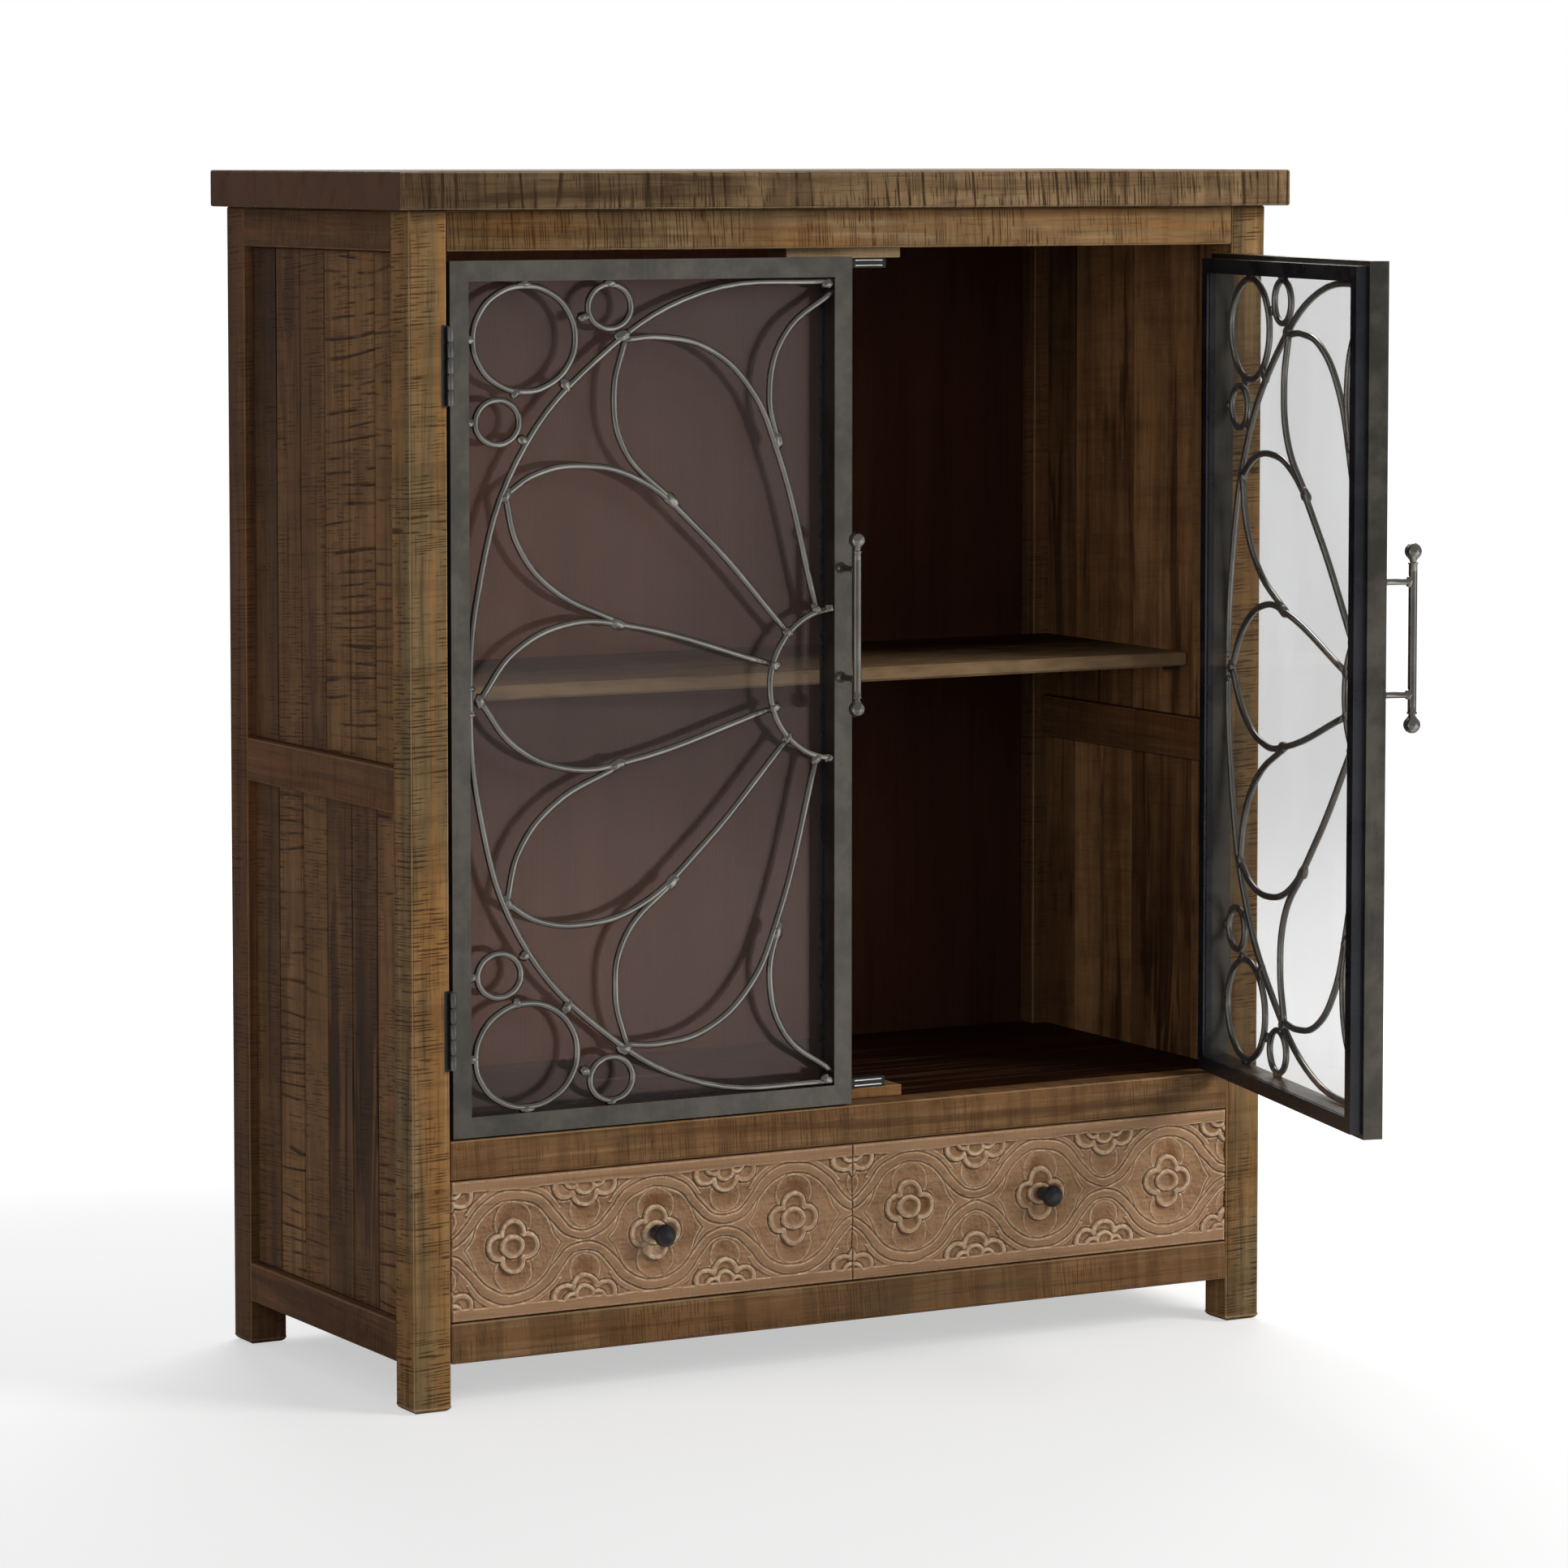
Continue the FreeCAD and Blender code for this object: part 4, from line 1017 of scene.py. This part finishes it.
def carvedRelief(u, v, centres, seed):
    # depth of the carving at points across the front, the gouge's lumps, the crests and the painted shade round them
    rough = noiseAt(u, v, 0.13, 0.13, seed + 3.3) + noiseAt(u, v, 0.34, 0.34, seed + 6.1) * 0.8
    wear = noiseAt(u, v, 0.02, 0.03, seed + 4.7)
    u = u + noiseAt(u, v, 0.045, 0.045, seed) * carving["warp"] * 2
    v = v + noiseAt(u, v, 0.045, 0.045, seed + 9.1) * carving["warp"] * 2
    centre = np.array(centres)[np.argmin([np.abs(u - c) for c in centres], axis=0)]
    pitch = (centres[2] - centres[0]) / 4
    a = np.abs(u - centre)
    b = np.abs(v - carving["middle"])
    inner, outer = carving["bandInner"], carving["bandOuter"]
    outerLine = smoothLine(arcPoints(outer, 90, 33, 8) + [(57.5, 20.0), (66.0, 13.0), (pitch, 10.2),
                                                          (pitch + 10, 11.5)])
    innerLine = smoothLine(arcPoints(inner, 90, 36, 8) + [(46.5, 17.5), (56.5, 8.2), (67.0, 3.2), (pitch, 0.9),
                                                          (pitch + 10, 2.2)])
    tipLine = smoothLine([(39.5, 24.5), (42.0, 19.0), (46.0, 9.5), (53.5, 0.0)])
    toOuter, toInner, toTip = (distanceTo(line, a, b) for line in (outerLine, innerLine, tipLine))
    highB, lowB = heightOfLine(outerLine, a), heightOfLine(innerLine, a)
    band = (b <= highB) & (b >= lowB)
    medallion = b < lowB
    beyondTip = medallion & (a > np.interp(b, [0, 9.5, 19, 24.5, 40], [53.5, 46.0, 42.0, 39.5, 200.0]))
    crown = np.clip(4 * (b - lowB) * (highB - b) / np.maximum((highB - lowB) ** 2, 1e-3), 0, 1)
    depth = np.where(band, 1.75 - carving["bandCrown"] * crown ** 0.8, carving["ground"])
    toLines = np.minimum(toOuter, toInner)

    # medallion: sunk ground, scoops above and below, then the flower
    inFlower = medallion & ~beyondTip
    scoop = np.hypot(a * 0.98, b - 25.5) / 20.5
    scoopRim = np.where(inFlower & (b > 16), np.abs(scoop - 1) * 20.5, 99)
    petals = np.minimum(np.hypot(a - carving["petalOut"], b), np.hypot(a, b - carving["petalOut"] * 0.94))
    petals = petals - carving["petalRadius"]
    boss = np.hypot(a * 0.92, b * 1.08) - carving["boss"]
    petalEdge, bossEdge = np.abs(petals - 0.9), np.abs(boss - 0.5)
    # half flowers hang from the plain strips, tier over tier
    side = np.abs(pitch - a)
    e = carving["stripLevel"] - b
    above = b > highB
    bowl = np.hypot(side, e - 27.0) / 17.5
    tierOne = np.minimum(np.hypot(side * 0.85, e - 11.5) - 12.6, np.hypot((side - 21.5) * 0.85, e - 3.5) - 12.0)
    tierTwo = np.minimum(np.hypot(side * 0.85, e - 3.0) - 9.6, np.hypot((side - 13.5) * 0.85, e + 1.5) - 8.0)
    low = carving["ground"]
    for where, sunk in (
            (medallion, 1.0 + (low - 1.0) * softStep(np.minimum(toInner, toTip), 0, 6.0)),
            (beyondTip, 0.9),
            (inFlower & (scoop < 1), 1.0 + carving["bowl"] * 1.2 * np.abs(1 - scoop ** 2) ** 0.8),
            (petals < 0, 0.2 + 3.2 * softStep(-petals, 3.2, 7.0)),
            (boss < 0, 0.3 + 2.8 * softStep(-boss, 3.4, 7.6)),
            (above, 0.8 + (low - 0.8) * softStep(toOuter, 0, 5.0)),
            (above & (bowl < 1), 1.0 + carving["bowl"] * 1.1 * np.abs(1 - bowl ** 2) ** 0.8),
            (above & (toOuter < 6.5) & (e < 23) & (tierOne > 0), 1.0),
            (above & (tierOne < 0), 0.2 + 2.9 * softStep(-tierOne, 2.8, 6.0)),
            (above & (tierTwo < 0), 0.2 + 2.6 * softStep(-tierTwo, 2.4, 5.4))):
        depth = np.where(where, sunk, depth)
    bowlEdge = np.where(above & (tierOne > 0.5) & (e > 18), np.abs(bowl - 1) * 17.5, 99)
    tierEdge = np.minimum(np.abs(tierOne - 0.8), np.where(tierOne < 0, np.abs(tierTwo - 0.6), 99))
    tierEdge = np.where(above, tierEdge, 99)
    flankEdge = np.where(above & (tierOne > 0.5) & (bowl > 1.02) & (e < 23), np.abs(toOuter - 6.5), 99)

    lumps = carving["gouge"] * rough * softStep(depth, 0.9, 1.8) * 2
    tipEdge = np.where(medallion, toTip, 99)
    for distance, width, deep in ((scoopRim, 1.2, 0.9), (petalEdge, 1.5, 2.2), (bossEdge, 1.3, 1.9),
                                  (bowlEdge, 1.2, 0.9), (tierEdge, 1.35, 2.1), (flankEdge, 1.2, 1.2),
                                  (tipEdge, 1.3, 1.2), (toLines, carving["lineWidth"], carving["lineDepth"])):
        cutIn = np.clip(1 - distance / width, 0, 1)
        depth = np.where(cutIn > 0, depth * (1 - 0.5 * cutIn) + (0.9 + deep) * cutIn, depth)
    # crests: rubbed pale and a painted highlight
    crest = np.where(boss < 0, crestOf(boss), crestOf(petals)) * inFlower
    crest = np.maximum(crest, np.where(above, np.where(tierTwo < 0, crestOf(tierTwo), crestOf(tierOne)), 0))
    outside = np.where(medallion, petals, tierOne)
    # painted shade on the ground round the petals and tiers
    shade = np.where((medallion | above) & (outside > 0), np.exp(-np.maximum(outside, 0) / 3.5), 0)
    strip = b > carving["stripLevel"]
    depth = np.where(strip, 0.0, depth * (1 + wear * 0.35))
    nearStrip = softStep(np.abs(b - carving["stripLevel"]), 0, 1.4)
    flushBand = band & (b > 50)
    depth = np.clip(np.where(strip | flushBand, depth, depth * (0.35 + 0.65 * nearStrip)), 0, carving["deepest"])
    lumps = np.where(strip | flushBand, 0, lumps * nearStrip * softStep(toLines, 0.8, 2.4))
    return depth, lumps, np.where(strip, 0, crest * (0.8 + wear)), np.where(strip, 0, shade)


def makeCarvedFront(side):
    low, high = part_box(side + "_drawer_front")
    width, height = (high.x - low.x) * 1000, (high.z - low.z) * 1000
    columns, rows = int(width / carving["grid"]), int(height / carving["grid"])
    bm = bmesh.new()
    layers = {label: bm.verts.layers.float.new(label) for label in ("groove", "lip", "hollow", "tone")}
    bmesh.ops.create_grid(bm, x_segments=columns, y_segments=rows, size=0.5)
    across = np.array([vert.co.x + 0.5 for vert in bm.verts])
    up = np.array([vert.co.y + 0.5 for vert in bm.verts])
    u, v = across * width, up * height
    depth, lumps, crest, shade = carvedRelief(u, v, medallions[side], 2.0 if side == "left" else 21.0)
    rim = np.minimum(np.minimum(u, width - u), np.minimum(v, height - v))
    depth = np.maximum(depth, np.clip(1 - rim / 1.8, 0, 1) ** 2 * 1.3)
    # hollows and grooves hold dark wax and painted shade, lips are rubbed pale and carry a painted highlight
    cellU, cellV = np.rint(across * columns).astype(int), np.rint(up * rows).astype(int)
    grid = np.zeros((rows + 1, columns + 1))
    grid[cellV, cellU] = depth
    fine, wide = softened(grid, 3), softened(grid, 6)
    groove = np.clip(np.maximum((grid - fine - 0.05) * 1.5, (grid - wide - 0.1) * 0.62), 0, 1)[cellV, cellU]
    lip = np.clip(np.clip((fine - grid - 0.07) * 3.6, 0, 1)[cellV, cellU] + 0.6 * crest, 0, 1)
    hollow = np.maximum(np.clip((wide - 2.3) / 1.5, 0, 1)[cellV, cellU], 0.75 * shade)
    if side == "left":
        bareU, bareV, reach = carving["barePatch"]
        lip = np.clip(lip + 0.8 * np.exp(-(np.hypot(u - bareU, v - bareV) / reach) ** 2), 0, 1)
    for index, vert in enumerate(bm.verts):
        sunk = max(0.0, min(carving["deepest"], depth[index] + lumps[index]))
        vert.co = Vector((low.x + u[index] / 1000, low.y + sunk / 1000, low.z + v[index] / 1000))
        for label, shares in (("groove", groove), ("lip", lip), ("hollow", hollow)):
            vert[layers[label]] = float(shares[index])
        vert[layers["tone"]] = 0.4 if side == "left" else 0.55
    # sides and back of the board
    sides = bmesh.ops.extrude_edge_only(bm, edges=[edge for edge in bm.edges if edge.is_boundary])["geom"]
    for item in sides:
        if isinstance(item, bmesh.types.BMVert):
            item.co.y = high.y
    bmesh.ops.holes_fill(bm, edges=[edge for edge in bm.edges if edge.is_boundary], sides=0)
    bmesh.ops.recalc_face_normals(bm, faces=bm.faces)
    piece = pieceFrom(bm, side + "CarvedFront", "carvedWood", smooth=True, sharpAngle=70)
    put(piece, side + "_drawer", "carved_wood", side + "_drawer_front")


knob = {
    "steps": 40,
    # radius and height in millimetres
    "outline": [(0.0, 0.0), (6.9, 0.0), (7.0, 0.8), (6.6, 2.0), (5.6, 2.6), (5.4, 3.4), (5.9, 4.2), (5.5, 5.0),
                (4.6, 6.0), (4.5, 8.5), (5.2, 11.0), (7.2, 13.2), (9.6, 14.8), (11.0, 16.4), (11.45, 18.2),
                (11.2, 20.2), (10.2, 22.4), (8.4, 24.4), (6.0, 25.8), (3.2, 26.5), (0.0, 26.7)],
}


def makeKnob(side):
    node = side + "_drawer_knob"
    low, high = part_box(node)
    bm = bmesh.new()
    outline = [(radius / 1000, height / 1000) for radius, height in knob["outline"]]
    foot = Matrix.Translation(((low.x + high.x) / 2, high.y, (low.z + high.z) / 2))
    addSpun(bm, outline, knob["steps"], foot @ Matrix.Rotation(math.radians(90), 4, "X"))
    bmesh.ops.recalc_face_normals(bm, faces=bm.faces)
    put(pieceFrom(bm, side + "Knob", "knobBlack", smooth=True, sharpAngle=50), side + "_drawer", "knob_iron", node)


def makeDrawers():
    for side in ("left", "right"):
        makeCarvedFront(side)
        makeKnob(side)
        for node in ("_drawer_sides", "_drawer_back", "_drawer_bottom"):
            dress(side + node, "boxWood")
        dress(side + "_drawer_knob_screw", "hingeSteel")


placeCamera()
placeLamps()
makeSky()
makeFloor()
makeCarcass()
print("carcass made")
makeGrilles()
makeDoors()
print("doors made")
makeDrawers()
print("drawers made")

bpy.context.scene.view_settings.view_transform = "Standard"
